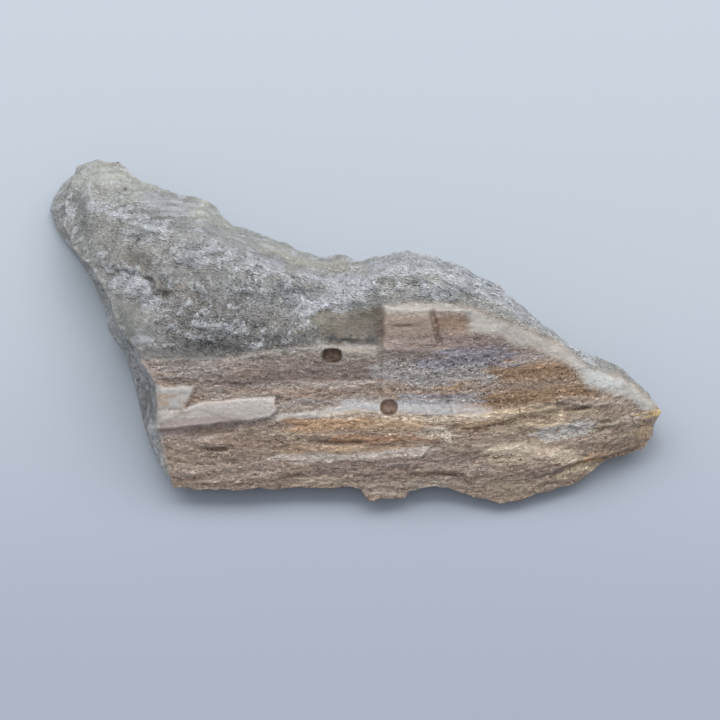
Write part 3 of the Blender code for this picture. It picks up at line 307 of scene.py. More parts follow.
# Bands of colour along the grain of the wood: (colour, strength, half width, line). A few of them are
# painted shade or painted light, each marked where it stands.
WOOD_BANDS = [
    ((141, 137, 134), 0.8, 0.6, [(-14.0, 0.5), (-6.0, 1.2), (0.0, 1.4), (2.4, 1.3)]),
    ((154, 147, 136), 0.8, 0.6, [(-2.0, 0.9), (2.2, 0.7)]),
    ((136, 128, 125), 0.8, 1.0, [(-24.0, -0.9), (-15.0, -0.6)]),
    ((122, 114, 111), 0.8, 1.0, [(-13.0, -0.5), (-4.0, 0.0), (2.4, 0.0)]),
    ((103, 94, 92), 0.85, 0.95, [(-16.8, -2.7), (-13.0, -2.4), (-6.0, -1.6), (2.4, -1.6)]),
    ((108, 105, 103), 0.9, 0.55, [(-25.4, 0.6), (-20.1, 0.4), (-16.8, 0.5)]),
    ((128, 120, 116), 0.75, 0.45, [(-19.2, -3.4), (-16.8, -3.5)]),
    ((150, 143, 136), 0.75, 0.4, [(-17.5, -4.2), (-11.0, -4.2)]),
    ((140, 133, 132), 0.6, 0.6, [(-22.5, -1.2), (-16.0, -1.2)]),
    ((128, 120, 118), 0.8, 0.6, [(-23.0, -2.2), (-17.5, -2.3)]),
    ((106, 93, 88), 0.7, 0.35, [(-23.2, -2.5), (-20.2, -2.4)]),
    ((150, 143, 139), 0.7, 0.3, [(-12.0, -3.1), (-2.0, -2.8), (2.4, -2.7)]),
    ((143, 126, 115), 0.8, 0.7, [(-9.8, -4.2), (-4.0, -4.2)]),
    ((130, 117, 109), 0.8, 0.45, [(-2.4, -3.6), (1.8, -3.5)]),
    ((146, 138, 135), 0.8, 0.5, [(-9.0, -5.3), (-3.0, -5.0), (1.8, -4.5)]),
    ((178, 172, 165), 0.9, 0.55, [(-9.6, -6.55), (-7.1, -6.35), (-4.7, -6.25), (-2.0, -5.95)]),
    ((172, 170, 170), 0.95, 0.65, [(-2.0, -6.0), (0.0, -5.6), (2.5, -5.35), (6.0, -5.7), (11.0, -5.9)]),
    ((170, 163, 160), 0.8, 0.6, [(11.0, -5.9), (14.8, -5.9)]),
    ((190, 176, 160), 0.85, 0.4, [(-3.0, -6.5), (1.2, -6.3), (5.0, -6.8), (10.0, -6.9), (16.0, -6.6)]),
    ((168, 138, 107), 0.8, 0.8, [(-8.0, -7.7), (-4.0, -7.6), (0.0, -7.4)]),
    ((176, 153, 125), 0.75, 0.7, [(1.5, -7.5), (4.0, -7.6), (7.0, -7.6)]),
    ((164, 147, 131), 0.7, 0.6, [(-12.5, -8.4), (-9.5, -8.9), (-5.6, -9.3)]),
    ((142, 110, 86), 0.8, 0.5, [(-3.2, -9.4), (0.0, -9.4), (5.0, -9.3), (8.5, -9.1)]),
    ((178, 153, 126), 0.75, 0.4, [(-9.5, -10.7), (-5.5, -10.5), (0.0, -10.5), (6.0, -10.2)]),
    ((142, 126, 113), 0.7, 0.35, [(4.8, -10.0), (8.6, -9.8)]),
    ((156, 142, 129), 0.7, 0.5, [(10.6, -10.4), (13.0, -10.3)]),
    ((164, 147, 128), 0.7, 0.5, [(15.5, -8.2), (20.5, -8.2)]),
    ((190, 179, 170), 0.85, 0.6, [(-9.5, -11.6), (-3.0, -11.5), (2.0, -11.3), (9.0, -10.7)]),
    # Partly the wood's pale mauve, partly painted light over the shadow of the long block's lower step.
    ((168, 159, 157), 0.85, 0.8, [(-24.6, -8.8), (-22.0, -8.9)]),
    # Painted light, laid along the shadow of the long block's lower step to lift it.
    ((186, 176, 172), 0.85, 0.45, [(-15.6, -7.6), (-13.0, -7.1), (-11.2, -6.5)]),
    ((150, 136, 131), 0.8, 0.4, [(-22.6, -8.2), (-19.8, -8.1)]),
    ((134, 110, 101), 0.8, 0.45, [(-19.6, -8.2), (-15.8, -7.9)]),
    ((154, 141, 134), 0.7, 0.5, [(-22.5, -9.3), (-16.0, -9.1)]),
    ((150, 133, 122), 0.7, 0.5, [(-22.5, -9.9), (-17.0, -9.9)]),
    ((128, 110, 96), 0.7, 0.5, [(-15.8, -9.6), (-10.0, -9.5)]),
    ((104, 89, 80), 0.7, 0.2, [(-19.0, -10.4), (-15.0, -10.3)]),
    ((104, 89, 80), 0.7, 0.2, [(-10.6, -10.3), (-9.6, -10.2)]),
    ((142, 126, 113), 0.7, 0.6, [(-23.0, -11.2), (-12.0, -10.9)]),
    ((148, 133, 124), 0.7, 0.9, [(-22.5, -12.8), (-10.0, -12.5)]),
    ((118, 98, 82), 0.8, 0.4, [(-8.8, -13.7), (-5.8, -13.6)]),
    ((128, 113, 106), 0.75, 0.9, [(-5.0, -12.7), (0.0, -12.7), (3.0, -12.9)]),
    ((130, 113, 101), 0.7, 0.4, [(-22.5, -14.8), (-16.0, -14.7), (-11.0, -14.8)]),
    ((172, 157, 140), 0.75, 0.45, [(-7.5, -14.3), (-4.0, -14.3), (-1.0, -14.6)]),
    ((166, 148, 137), 0.7, 0.6, [(-22.0, -13.7), (-17.0, -13.7), (-11.0, -13.6)]),
    ((130, 117, 110), 0.8, 0.9, [(3.0, -12.2), (8.0, -12.0), (12.5, -11.8)]),
    ((160, 147, 135), 0.8, 0.7, [(0.0, -15.4), (5.0, -15.4), (9.0, -14.6)]),
    ((128, 115, 106), 0.7, 0.4, [(0.5, -14.2), (4.6, -14.0)]),
    ((138, 121, 107), 0.7, 0.3, [(8.0, -13.1), (13.0, -13.3)]),
    ((162, 148, 134), 0.75, 0.7, [(5.0, -14.3), (10.0, -14.6), (14.5, -14.7)]),
    ((121, 107, 98), 0.9, 2.6, [(4.0, 4.0), (8.0, 4.0)]),
    ((146, 130, 119), 0.7, 0.7, [(3.4, 5.0), (7.6, 5.3)]),
    ((104, 84, 70), 0.6, 0.16, [(3.7, 3.9), (5.2, 4.0), (7.0, 4.1)]),
    ((184, 180, 174), 0.85, 0.5, [(3.2, 6.2), (8.0, 6.4), (12.0, 6.1)]),
    ((114, 93, 78), 0.85, 1.0, [(9.4, 4.5), (12.4, 4.7)]),
    # Painted shade in the groove of the notch in the thick block.
    ((104, 82, 66), 0.9, 0.32, [(8.5, 4.9), (8.8, 3.6), (9.3, 1.8)]),
    # Painted shade on the slope that faces down below the thick block.
    ((110, 98, 95), 0.85, 0.7, [(9.8, 2.5), (13.0, 2.5), (17.4, 1.9)]),
    # Painted shade under the notch in the thick block.
    ((104, 98, 99), 0.8, 0.4, [(9.4, 1.3), (12.4, 1.1)]),
    ((136, 131, 132), 0.7, 0.6, [(17.6, 0.6), (20.6, 0.3)]),
    ((126, 112, 108), 0.8, 0.5, [(18.3, 1.4), (20.2, 1.0)]),
    ((141, 127, 121), 0.85, 0.9, [(3.2, 1.8), (8.6, 1.7)]),
    ((135, 132, 131), 0.9, 1.5, [(2.9, -0.9), (8.0, -0.8), (14.0, -1.4)]),
    ((122, 119, 128), 0.9, 1.3, [(8.4, 0.0), (12.0, 0.5), (17.0, 0.4)]),
    ((138, 136, 139), 0.8, 0.6, [(4.0, -2.4), (10.0, -2.5)]),
    ((130, 118, 112), 0.8, 0.25, [(5.0, -3.3), (10.0, -3.4), (16.0, -3.0)]),
    ((122, 107, 96), 0.8, 0.5, [(16.0, -3.0), (24.4, -2.5)]),
    ((150, 126, 100), 0.7, 0.2, [(8.4, -3.2), (12.0, -3.1)]),
    ((126, 116, 113), 0.8, 0.6, [(3.0, 0.6), (9.0, 0.5)]),
    ((146, 146, 151), 0.9, 0.35, [(4.8, -5.1), (11.0, -5.1)]),
    ((142, 139, 142), 0.9, 0.6, [(4.8, -4.4), (10.0, -4.6), (15.0, -4.3)]),
    ((127, 101, 76), 0.8, 1.0, [(17.0, -1.6), (21.0, -1.3), (25.4, -1.3)]),
    ((127, 102, 76), 0.8, 1.0, [(14.5, -5.0), (19.0, -4.4), (24.0, -3.8), (28.5, -3.6)]),
    ((195, 176, 150), 0.8, 0.6, [(15.4, -6.5), (17.0, -6.2), (20.0, -5.8), (24.0, -6.2)]),
    ((194, 183, 167), 0.85, 0.65, [(7.6, -8.5), (9.4, -8.3), (10.4, -8.8), (11.2, -9.4)]),
    ((182, 163, 143), 0.75, 0.5, [(3.4, -8.6), (5.8, -8.7)]),
    ((164, 144, 124), 0.7, 0.7, [(11.8, -7.6), (14.6, -8.1)]),
    ((158, 135, 108), 0.8, 0.3, [(10.5, -8.1), (14.5, -7.6), (18.0, -7.0), (20.0, -6.5)]),
    ((172, 155, 133), 0.8, 0.7, [(18.0, -7.1), (20.6, -7.6), (24.0, -7.1)]),
    ((158, 145, 134), 0.7, 0.8, [(24.0, -4.9), (28.0, -4.8), (32.5, -5.0)]),
    ((166, 149, 130), 0.75, 0.5, [(22.5, -5.9), (28.5, -6.0)]),
    ((149, 136, 122), 0.8, 1.6, [(27.0, -7.4), (30.0, -7.6), (33.0, -7.6)]),
    ((171, 168, 165), 0.85, 1.0, [(21.5, -8.8), (24.0, -8.4), (26.8, -8.0)]),
    ((188, 173, 154), 0.9, 0.9, [(15.5, -10.8), (18.9, -10.6), (21.2, -10.5), (23.6, -11.2), (25.2, -11.6)]),
    ((202, 189, 172), 0.85, 0.6, [(17.6, -10.7), (19.8, -10.6)]),
    ((158, 120, 80), 0.85, 0.5, [(25.4, -12.2), (27.2, -12.0), (28.4, -11.6)]),
    ((160, 138, 118), 0.8, 0.45, [(28.6, -11.3), (30.4, -11.0)]),
    ((120, 98, 78), 0.7, 0.3, [(23.2, -13.1), (24.8, -12.5)]),
    ((140, 126, 116), 0.75, 0.5, [(14.8, -14.0), (19.5, -14.0), (22.4, -13.4)]),
    ((148, 122, 104), 0.8, 0.5, [(30.6, -11.0), (32.4, -10.6), (34.0, -9.8)]),
    ((166, 151, 136), 0.75, 0.6, [(14.5, -11.9), (18.0, -11.9), (21.0, -12.2)]),
    ((174, 159, 149), 0.75, 0.5, [(12.8, -13.0), (15.0, -13.1)]),
    ((138, 124, 110), 0.8, 1.2, [(14.0, -14.6), (18.0, -15.3), (22.4, -14.6)]),
    ((198, 181, 156), 0.85, 0.7, [(23.8, -13.4), (25.4, -13.1), (27.8, -12.6)]),
    ((141, 122, 106), 0.8, 0.8, [(29.5, -10.2), (33.0, -9.7)]),
    ((166, 146, 120), 0.8, 0.7, [(33.4, -9.0), (34.6, -8.0)]),
    ((120, 103, 91), 0.7, 0.4, [(29.8, -8.4), (31.6, -8.2)]),
    ((182, 168, 158), 0.7, 0.5, [(32.0, -6.8), (33.4, -7.0)]),
    ((228, 196, 138), 0.85, 0.5, [(34.2, -6.6), (35.6, -6.2)]),
]

# Stains of the grey stone, in the same form. Some of them are painted shade or painted highlight rather than
# stains, each marked where it stands.
STONE_STAINS_AND_PAINTED_LIGHT = [
    ((172, 173, 166), 0.8, 2.4, [(-33.5, 22.5), (-30.0, 22.6), (-28.0, 22.0)]),
    ((142, 142, 142), 0.85, 0.9, [(-35.0, 20.2), (-34.8, 18.4)]),
    ((128, 127, 126), 0.85, 0.9, [(-34.7, 17.2), (-33.4, 15.8)]),
    ((160, 161, 158), 0.7, 1.5, [(-32.5, 20.5), (-29.5, 19.8)]),
    ((147, 146, 141), 0.85, 1.9, [(-31.5, 15.6), (-28.5, 14.2), (-25.8, 13.0)]),
    ((122, 116, 110), 0.8, 0.9, [(-28.2, 12.4), (-25.2, 11.9)]),
    # Painted shade along the crevice below the lobe's broken step.
    ((112, 106, 101), 0.6, 0.3, [(-31.2, 12.0), (-29.3, 11.3), (-26.2, 10.4), (-25.0, 9.4), (-24.8, 8.2)]),
    # Painted shade in the pit at the crevice's end.
    ((112, 100, 92), 0.85, 0.9, [(-24.4, 8.2), (-22.6, 7.6)]),
    ((144, 135, 129), 0.7, 0.9, [(-21.4, 8.6), (-19.6, 7.2), (-17.5, 6.4)]),
    ((168, 170, 174), 0.85, 1.2, [(-28.2, 9.6), (-26.2, 8.8), (-25.4, 7.2)]),
    ((123, 124, 119), 0.85, 1.9, [(-27.6, 5.4), (-26.4, 3.6)]),
    ((168, 171, 177), 0.8, 0.9, [(-26.2, 2.8), (-24.6, 1.6)]),
    ((158, 156, 158), 0.8, 1.6, [(-27.0, -0.2), (-26.4, -3.0)]),
    # Painted shade on the left end's wall, which faces away from the light.
    ((105, 103, 101), 0.8, 2.0, [(-25.9, -4.8), (-24.5, -8.0)]),
    ((178, 176, 174), 0.85, 1.2, [(-24.6, -8.2), (-23.6, -10.5), (-22.9, -13.0)]),
    ((134, 135, 136), 0.8, 2.0, [(-16.0, 8.6), (-11.0, 7.6)]),
    ((132, 135, 139), 0.7, 1.2, [(-19.5, 13.2), (-17.5, 12.6)]),
    ((166, 169, 175), 0.7, 1.2, [(-26.0, 19.6), (-22.5, 18.4)]),
    # Partly the stone's own dark grey, partly painted shade in the hollow just above the wood.
    ((100, 96, 94), 0.9, 0.9, [(-25.6, 1.0), (-20.0, 0.9), (-16.6, 1.0)]),
    ((132, 129, 127), 0.8, 2.4, [(-22.0, 5.5), (-15.0, 5.4), (-8.5, 4.6)]),
    # Partly the stone's own dark grey, partly painted shade in the hollow just above the wood.
    ((102, 100, 99), 0.9, 1.4, [(-22.6, 1.4), (-18.9, 1.6), (-11.8, 1.9), (-6.0, 2.6)]),
    ((150, 152, 156), 0.6, 0.9, [(-18.0, 4.2), (-15.8, 3.8)]),
    # Painted shade in the hollow beside the thick block.
    ((106, 95, 82), 0.9, 1.9, [(-3.4, 4.0), (0.0, 4.2), (2.2, 4.4)]),
    # Painted shadow beside the thick block's left cliff.
    ((98, 84, 74), 0.8, 0.5, [(1.4, 2.7), (2.2, 3.3), (2.3, 4.4)]),
    ((114, 106, 88), 0.7, 0.8, [(0.6, 5.2), (1.9, 5.7)]),
    ((132, 126, 112), 0.7, 1.2, [(-6.5, 4.2), (-3.0, 5.6), (0.0, 6.2)]),
    ((56, 53, 53), 0.9, 0.5, [(-3.4, 2.3), (0.0, 2.3), (2.1, 2.2)]),
    # Partly pale flakes, partly a painted highlight along the lobe's crest.
    ((170, 173, 178), 0.75, 0.4, [(-32.6, 18.5), (-28.4, 17.7), (-25.8, 16.6), (-22.5, 15.7)]),
    ((122, 123, 124), 0.6, 0.8, [(-27.8, 16.0), (-26.0, 18.0), (-21.0, 16.4)]),
    # Partly pale flakes, partly a painted highlight on the crest's slope.
    ((168, 171, 176), 0.7, 0.7, [(-15.5, 11.6), (-11.5, 10.9)]),
    ((136, 139, 146), 0.8, 0.9, [(-8.6, 7.6), (-5.4, 6.6), (-3.6, 7.2)]),
    ((118, 119, 124), 0.75, 0.5, [(-9.6, 8.6), (-6.8, 8.3), (-4.6, 8.6)]),
    ((168, 170, 176), 0.7, 0.7, [(-6.0, 10.2), (-2.5, 9.8), (0.5, 9.3)]),
    ((168, 168, 160), 0.8, 1.7, [(-19.5, 18.3), (-16.8, 16.8)]),
    ((164, 162, 153), 0.8, 1.0, [(-11.5, 13.5), (-6.5, 11.6)]),
    ((158, 155, 146), 0.8, 1.0, [(-5.0, 11.5), (-0.4, 11.2)]),
    ((162, 163, 168), 0.7, 1.6, [(2.5, 12.0), (8.5, 11.9), (14.0, 9.8), (20.0, 5.8)]),
    # Painted light on the dome's facet that faces down.
    ((172, 172, 169), 0.7, 0.8, [(4.0, 9.3), (9.5, 9.1)]),
    ((160, 160, 156), 0.7, 1.0, [(4.0, 7.8), (12.0, 7.8), (17.0, 5.9), (23.0, 2.0)]),
    ((132, 132, 131), 0.7, 0.7, [(-29.2, 18.7), (-27.4, 18.0)]),
    ((154, 156, 150), 0.6, 0.9, [(-29.0, 21.8), (-27.2, 21.4)]),
    ((170, 171, 174), 0.8, 0.9, [(-28.2, 15.6), (-26.0, 14.7), (-23.4, 14.2)]),
    ((142, 143, 145), 0.6, 0.8, [(-20.0, 16.0), (-17.5, 15.6)]),
    ((132, 132, 134), 0.75, 1.1, [(-18.8, 11.9), (-15.3, 12.8), (-13.0, 12.3), (-10.4, 11.6)]),
    ((152, 152, 151), 0.7, 0.8, [(-25.4, 3.8), (-24.0, 3.2)]),
    ((156, 158, 161), 0.7, 0.9, [(-12.6, 7.2), (-10.8, 6.8)]),
    ((168, 169, 172), 0.8, 0.9, [(-8.0, 5.6), (-6.4, 4.5)]),
    ((186, 188, 194), 0.8, 0.8, [(-4.4, 6.6), (-2.6, 6.6)]),
    ((170, 171, 173), 0.75, 0.8, [(-2.2, 7.0), (0.2, 6.6)]),
    ((176, 179, 184), 0.7, 0.8, [(-3.0, 8.3), (-1.0, 8.3), (1.6, 8.4)]),
    ((180, 182, 188), 0.8, 0.8, [(7.6, 8.4), (8.8, 8.3), (11.0, 8.2)]),
    ((134, 136, 138), 0.7, 0.9, [(13.4, 9.6), (15.2, 9.2)]),
    ((186, 191, 196), 0.6, 0.8, [(24.5, 1.9), (27.5, 0.4)]),
    ((174, 175, 176), 0.8, 0.6, [(-33.2, 19.6), (-32.7, 18.4)]),
    ((180, 183, 187), 0.8, 0.5, [(-36.0, 18.8), (-35.8, 17.8)]),
]
# How strongly the stone breaks into thin flakes, and how far stone and wood break into sugary grains:
# (strength, half width, line), each lying over those before it.
FLAKY = [
    (0.9, 2.6, [(-31.5, 17.6), (-27.0, 16.6), (-22.0, 14.4), (-14.0, 11.6), (-9.0, 9.6)]),
    (1.0, 2.4, [(-9.0, 8.6), (-3.0, 8.2), (1.5, 9.4)]),
    (1.0, 2.6, [(4.0, 9.6), (12.0, 9.0), (18.5, 6.0), (24.0, 2.2)]),
    (0.9, 1.8, [(-28.8, 10.0), (-26.0, 8.6)]),
]
SUGARY = [
    (1.0, 2.6, [(-21.0, 4.4), (-16.0, 4.2), (-9.0, 4.0)]),
    (0.9, 1.5, [(-22.0, 1.8), (-10.0, 2.2), (-4.0, 3.0)]),
    (0.8, 1.8, [(-23.0, 7.0), (-15.0, 7.4), (-10.0, 7.0)]),
    (0.8, 1.6, [(-9.5, 6.2), (-6.5, 5.6)]),
    (0.5, 2.0, [(-31.0, 15.0), (-26.0, 12.4)]),
]
GRANULAR_WOOD = [
    (0.9, 1.3, [(4.5, -1.0), (11.0, -0.7), (17.0, -0.8)]),
    (0.8, 0.7, [(4.6, -3.2), (16.0, -3.0)]),
    (0.6, 1.0, [(17.0, -1.6), (25.4, -1.4)]),
    (0.6, 0.9, [(14.5, -5.0), (19.0, -4.4), (28.5, -3.6)]),
    (0.5, 0.8, [(-9.5, -4.4), (1.8, -3.9)]),
    (0.4, 1.8, [(14.0, -11.6), (22.0, -12.4), (26.0, -9.0), (31.0, -7.6)]),
]
# Where the wood is worn smooth.
SMOOTH_WOOD = [
    (0.85, 0.5, [(-9.6, -6.7), (-4.7, -6.35), (-2.0, -5.9)]),
    (0.9, 0.75, [(-2.0, -5.8), (2.5, -5.3), (6.0, -5.7), (15.0, -6.0)]),
    (0.7, 2.4, [(4.6, 4.2), (11.5, 4.4)]),
    (0.4, 1.2, [(3.4, 1.7), (12.0, 2.2)]),
    (0.6, 0.7, [(-3.0, 1.2), (2.2, 1.1)]),
    (0.5, 1.1, [(14.5, -10.0), (25.0, -10.6)]),
    (0.6, 0.6, [(-24.4, -8.6), (-16.0, -8.2)]),
    (0.4, 0.6, [(-9.0, -11.3), (9.0, -10.7)]),
]
# Where thin pale crusts lie closest over the stone.
CRUSTY = [
    (0.9, 0.9, [(-33.2, 19.0), (-30.0, 18.3), (-27.0, 17.2), (-24.0, 16.0)]),
    (0.8, 1.5, [(-28.9, 10.2), (-25.8, 9.2), (-25.2, 7.4)]),
    (0.8, 1.3, [(-21.5, 12.9), (-16.0, 11.9), (-10.0, 11.2)]),
    (0.9, 1.3, [(-20.4, 5.4), (-16.4, 4.0), (-14.2, 3.6)]),
    (0.9, 1.1, [(-6.5, 10.4), (-2.4, 9.9), (1.0, 9.4)]),
    (1.0, 0.9, [(-6.7, 6.3), (-3.6, 6.6)]),
    (0.0, 0.6, [(-8.8, 8.0), (-4.6, 7.9)]),
    (0.7, 1.2, [(2.6, 10.9), (8.5, 10.9), (13.0, 9.6), (19.5, 5.9), (25.0, 1.6)]),
    (-0.6, 1.6, [(-31.5, 15.6), (-28.5, 14.2), (-25.8, 13.0)]),
    (0.0, 1.9, [(-35.0, 23.6), (-31.0, 22.4)]),
    (-0.8, 2.2, [(-4.0, 3.4), (2.0, 3.8)]),
    (-0.6, 0.8, [(-25.6, 0.9), (-16.6, 0.9)]),
    (-0.6, 1.3, [(-12.5, 5.2), (-9.0, 4.6)]),
    (-0.4, 1.9, [(-27.6, 5.4), (-26.4, 3.6)]),
]
# Where the stone is worn smooth.
CALM = [
    (0.55, 2.2, [(-35.0, 23.6), (-32.0, 23.4), (-28.5, 22.2), (-22.0, 19.6), (-17.0, 16.9)]),
    (0.55, 1.6, [(-14.5, 14.2), (-7.0, 12.0), (-4.0, 11.8)]),
    (0.3, 2.0, [(-3.0, 11.8), (0.0, 11.6)]),
    (0.3, 1.6, [(-4.0, 4.2), (0.8, 4.6)]),
    (0.4, 1.6, [(-27.2, 4.8), (-26.2, 3.2)]),
]
# Small black specks of the stone.
SPECKS = [
    (-28.9, 18.9), (-29.2, 21.2), (-19.2, 1.2), (-8.1, 9.9), (-26.9, -2.4), (-26.8, 14.6), (-29.9, 11.4),
]
SPECK_COLOUR = (58, 56, 56)
SPECK_COVER = 0.9
SPECK_HALF_WIDTH = 0.22
# The two pale blocks, how much of their colour shows, and the bands of colour over them, one of which is
# painted shadow.
SMALL_BLOCK_COLOUR = (152, 151, 149)
LONG_BLOCK_COLOUR = (165, 160, 157)
BLOCK_COVER = 0.85
BLOCK_STAINS_AND_PAINTED_SHADOW = [
    ((142, 122, 104), 0.8, 0.7, [(-24.2, -4.9), (-22.6, -4.6)]),
    ((142, 128, 124), 0.9, 0.9, [(-24.6, -8.2), (-19.5, -7.7), (-15.0, -7.3), (-12.6, -7.0)]),
    ((156, 150, 146), 0.6, 0.5, [(-14.5, -6.6), (-10.8, -6.3)]),
    # Painted shadow at the step below the small block's corner.
    ((138, 129, 122), 0.8, 0.4, [(-21.9, -5.9), (-20.6, -6.3)]),
]
# The rim's tones from left to right: (u, colour).
RIM_TONES = [
    (4.0, (138, 134, 129)),
    (8.0, (149, 144, 138)),
    (15.0, (152, 150, 147)),
    (18.5, (142, 139, 135)),
    (24.0, (142, 138, 133)),
    (25.5, (149, 148, 146)),
    (28.0, (170, 174, 174)),
    (30.5, (163, 164, 164)),
    (33.5, (160, 157, 151)),
]
# How much of the rim's colour shows.
RIM_COVER = 0.85
# The floors of the two borings.
BORING_COLOURS = [(92, 74, 64), (146, 124, 110)]

# How far out the wood's face lies in the face's own frame, and how thick the bed of wood is.
BED_FACE = 12.0
BED_THICKNESS = 6.5
# How steeply the stone's thin flakes run down to the right.
FLAKE_DIP = math.radians(20.0)
# Between these heights above the bench, marks on the walls grow more ragged on the way down.
LOW_DOWN = (1.5, 7.0)
# How high the material's bumps look, in metres.
BUMP_HEIGHT = 0.18 * MM
# How many rounds of smoothing tell fine hollows and broad ones from their surroundings, for the painted
# shade in hollows and painted highlight on crests.
FINE_ROUNDS = 4
BROAD_ROUNDS = 40

# How fine the mesh is on the stone, along and across the wood's grain, along the face's edge and its
# ledges and cracks, down the wall and on the underside.
FINE_STONE_STEP = 0.21
FINE_GRAIN_ALONG = 0.21
FINE_GRAIN_ACROSS = 0.13
FINE_EDGE_STEP = 0.25
FINE_FEATURE_STEP = 0.25
FINE_WALL_ROWS = 24
FINE_BASE_STEP = 0.6
# Points stand in staggered rows, this share of a step apart.
ROW_SHARE = 0.87
# How clear they keep of the points of ledges, cracks and edges, as a share of a step.
CLEAR_SHARE = 0.6
# How clear the points of ledges and cracks keep of the face's edge.
RIM_CLEARANCE = 0.35


def row_point(u, v, out):
    """A point of the face's own frame, out standing square off the face, in the part's frame."""
    lean_sin, lean_cos = math.sin(FACE_LEAN), math.cos(FACE_LEAN)
    return (
        (u + FACE_ORIGIN_X) * MM,
        (v * lean_cos - out * lean_sin + FACE_ORIGIN_Y) * MM,
        (v * lean_sin + out * lean_cos) * MM,
    )


def face_frame(points):
    """The (u, v, out) of points of the part's frame given in millimetres."""
    lean_sin, lean_cos = math.sin(FACE_LEAN), math.cos(FACE_LEAN)
    x, y, z = (points - np.array([FACE_ORIGIN_X, FACE_ORIGIN_Y, 0.0])).T
    return np.column_stack([x, y * lean_cos + z * lean_sin, z * lean_cos - y * lean_sin])


def out_of_face(v, height):
    """How far a point of that height above the bench stands out in the face's own frame."""
    return (height - v * math.sin(FACE_LEAN)) / math.cos(FACE_LEAN)


# The noises below are fixed patterns. A seed only shifts one, so that no two patterns coincide.


def noise_place(p, size, seed):
    """Where the point lies in a noise with lumps of that size."""
    return p[0] / size + seed, p[1] / size, p[2] / size


def swell(points, size, seed):
    """Smooth noise from -1 to 1 at each point, with lumps of that size."""
    return np.array([noise.noise(noise_place(p, size, seed)) for p in points])


def hackle(points, size, seed):
    """Flat-sided peaks and pits, the way a sandy stone breaks, about that far apart."""
    peaks = []
    for p in points:
        place = Vector(noise_place(p, size, seed))
        high = noise.voronoi(place, distance_metric="MANHATTAN")[0][0]
        deep = noise.voronoi(place * 0.8 + Vector((9.0, 5.0, 1.0)), distance_metric="MANHATTAN")[0][0]
        peaks.append(deep - high)
    return np.array(peaks)


def smoothstep(low, high, x):
    """0 up to low and 1 from high on, with a soft slope between."""
    t = np.clip((x - low) / (high - low), 0.0, 1.0)
    return t * t * (3.0 - 2.0 * t)


def fading(near, far, x):
    """1 up to near and 0 from far on."""
    return 1.0 - smoothstep(near, far, x)


def triangles(points, edges=()):
    """The plane's triangles between these points, inside the closed edges where there are any."""
    made = delaunay_2d_cdt([Vector(p) for p in points], list(edges), [], 1 if edges else 0, 1e-5)
    return [tuple(p) for p in made[0]], [tuple(f) for f in made[2]]


def ring(count):
    return [(i, (i + 1) % count) for i in range(count)]


def inside(points, loop):
    """Which of these points lie inside the loop."""
    found = np.zeros(len(points), bool)
    for (ax, ay), (bx, by) in zip(loop, np.roll(loop, -1, axis=0)):
        if ay == by:
            continue
        crosses = (ay > points[:, 1]) != (by > points[:, 1])
        found ^= crosses & (points[:, 0] < ax + (points[:, 1] - ay) * (bx - ax) / (by - ay))
    return found


def runs(line):
    """The two ends of each straight run of the line."""
    places = np.array(line, float)
    return zip(places[:-1], places[1:])


def along(points, line):
    """Distance of each point from the line, the side it is on, and how far along it lies."""
    best = np.full(len(points), np.inf)
    side = np.zeros(len(points))
    travel = np.zeros(len(points))
    walked = 0.0
    for a, b in runs(line):
        length = np.linalg.norm(b - a)
        share = np.clip((points - a) @ (b - a) / length**2, 0.0, 1.0)
        away = points - (a + share[:, None] * (b - a))
        distance = np.linalg.norm(away, axis=1)
        nearer = distance < best
        best[nearer] = distance[nearer]
        turn = away[:, 0] * (b - a)[1] - away[:, 1] * (b - a)[0]
        side[nearer] = np.sign(turn)[nearer]
        travel[nearer] = (walked + share * length)[nearer]
        walked += length
    return best, side, travel, walked


def in_wood(points):
    """1 in the wood, 0 in the stone, blending over a narrow seam."""
    wood = inside(points, np.array(WOOD_OUTLINE))
    seam = along(points, WOOD_OUTLINE)[0]
    return 0.5 + np.where(wood, 0.5, -0.5) * smoothstep(0.0, 0.5, seam)


def across_grain(u, v):
    """Place across the grain, which curves upward towards the right."""
    return v - GRAIN_BEND * np.maximum(u - GRAIN_BEND_U, 0.0) ** 2


def stretched(u, grain, out, sizes):
    """Places for noise whose lumps have these sizes along the grain, across it and out of the face."""
    return np.column_stack([u / sizes[0], grain / sizes[1], out / sizes[2]])


def terraces(solid):
    """Steps of split wood, long along the grain and short across it, boldest low on the face."""
    u, v, out = solid.T
    bend = 0.35 * swell(solid, 2.6, 91.0)
    grain = across_grain(u, v) + bend
    broad = swell(stretched(u, grain, out, (9.0, 1.8, 2.5)), 1.0, 5.0)
    fine = swell(stretched(u, grain, out, (4.0, 0.85, 1.2)), 1.0, 9.0)
    boldness = 0.55 + 0.45 * smoothstep(5.0, 8.0, -v)
    return boldness * (WOOD_TERRACE * (smoothstep(-0.14, 0.14, broad) - 0.5) + WOOD_FIBRE * fine)


def lump_rise(points, u, v, half_width, half_height, rise):
    reach = np.hypot((points[:, 0] - u) / half_width, (points[:, 1] - v) / half_height)
    return rise * fading(0.35, 1.1, reach)


def ragged(line):
    """The line in short runs that stray to both sides, as broken edges do."""
    places = [np.array(line[0], float)]
    for a, b in runs(line):
        count = max(1, round(np.linalg.norm(b - a) / RAGGED_STEP))
        places += [a + (b - a) * k / count for k in range(1, count + 1)]
    places = np.array(places)
    solid = np.column_stack([places, np.zeros(len(places))])
    return places + RAGGED * np.column_stack([swell(solid, 0.9, 67.0), swell(solid, 0.9, 73.0)])


def near_line(points, line, reach):
    """Which of the points lie within reach of the line's box."""
    low, high = np.min(line, axis=0) - reach, np.max(line, axis=0) + reach
    return np.all((points > low) & (points < high), axis=1)


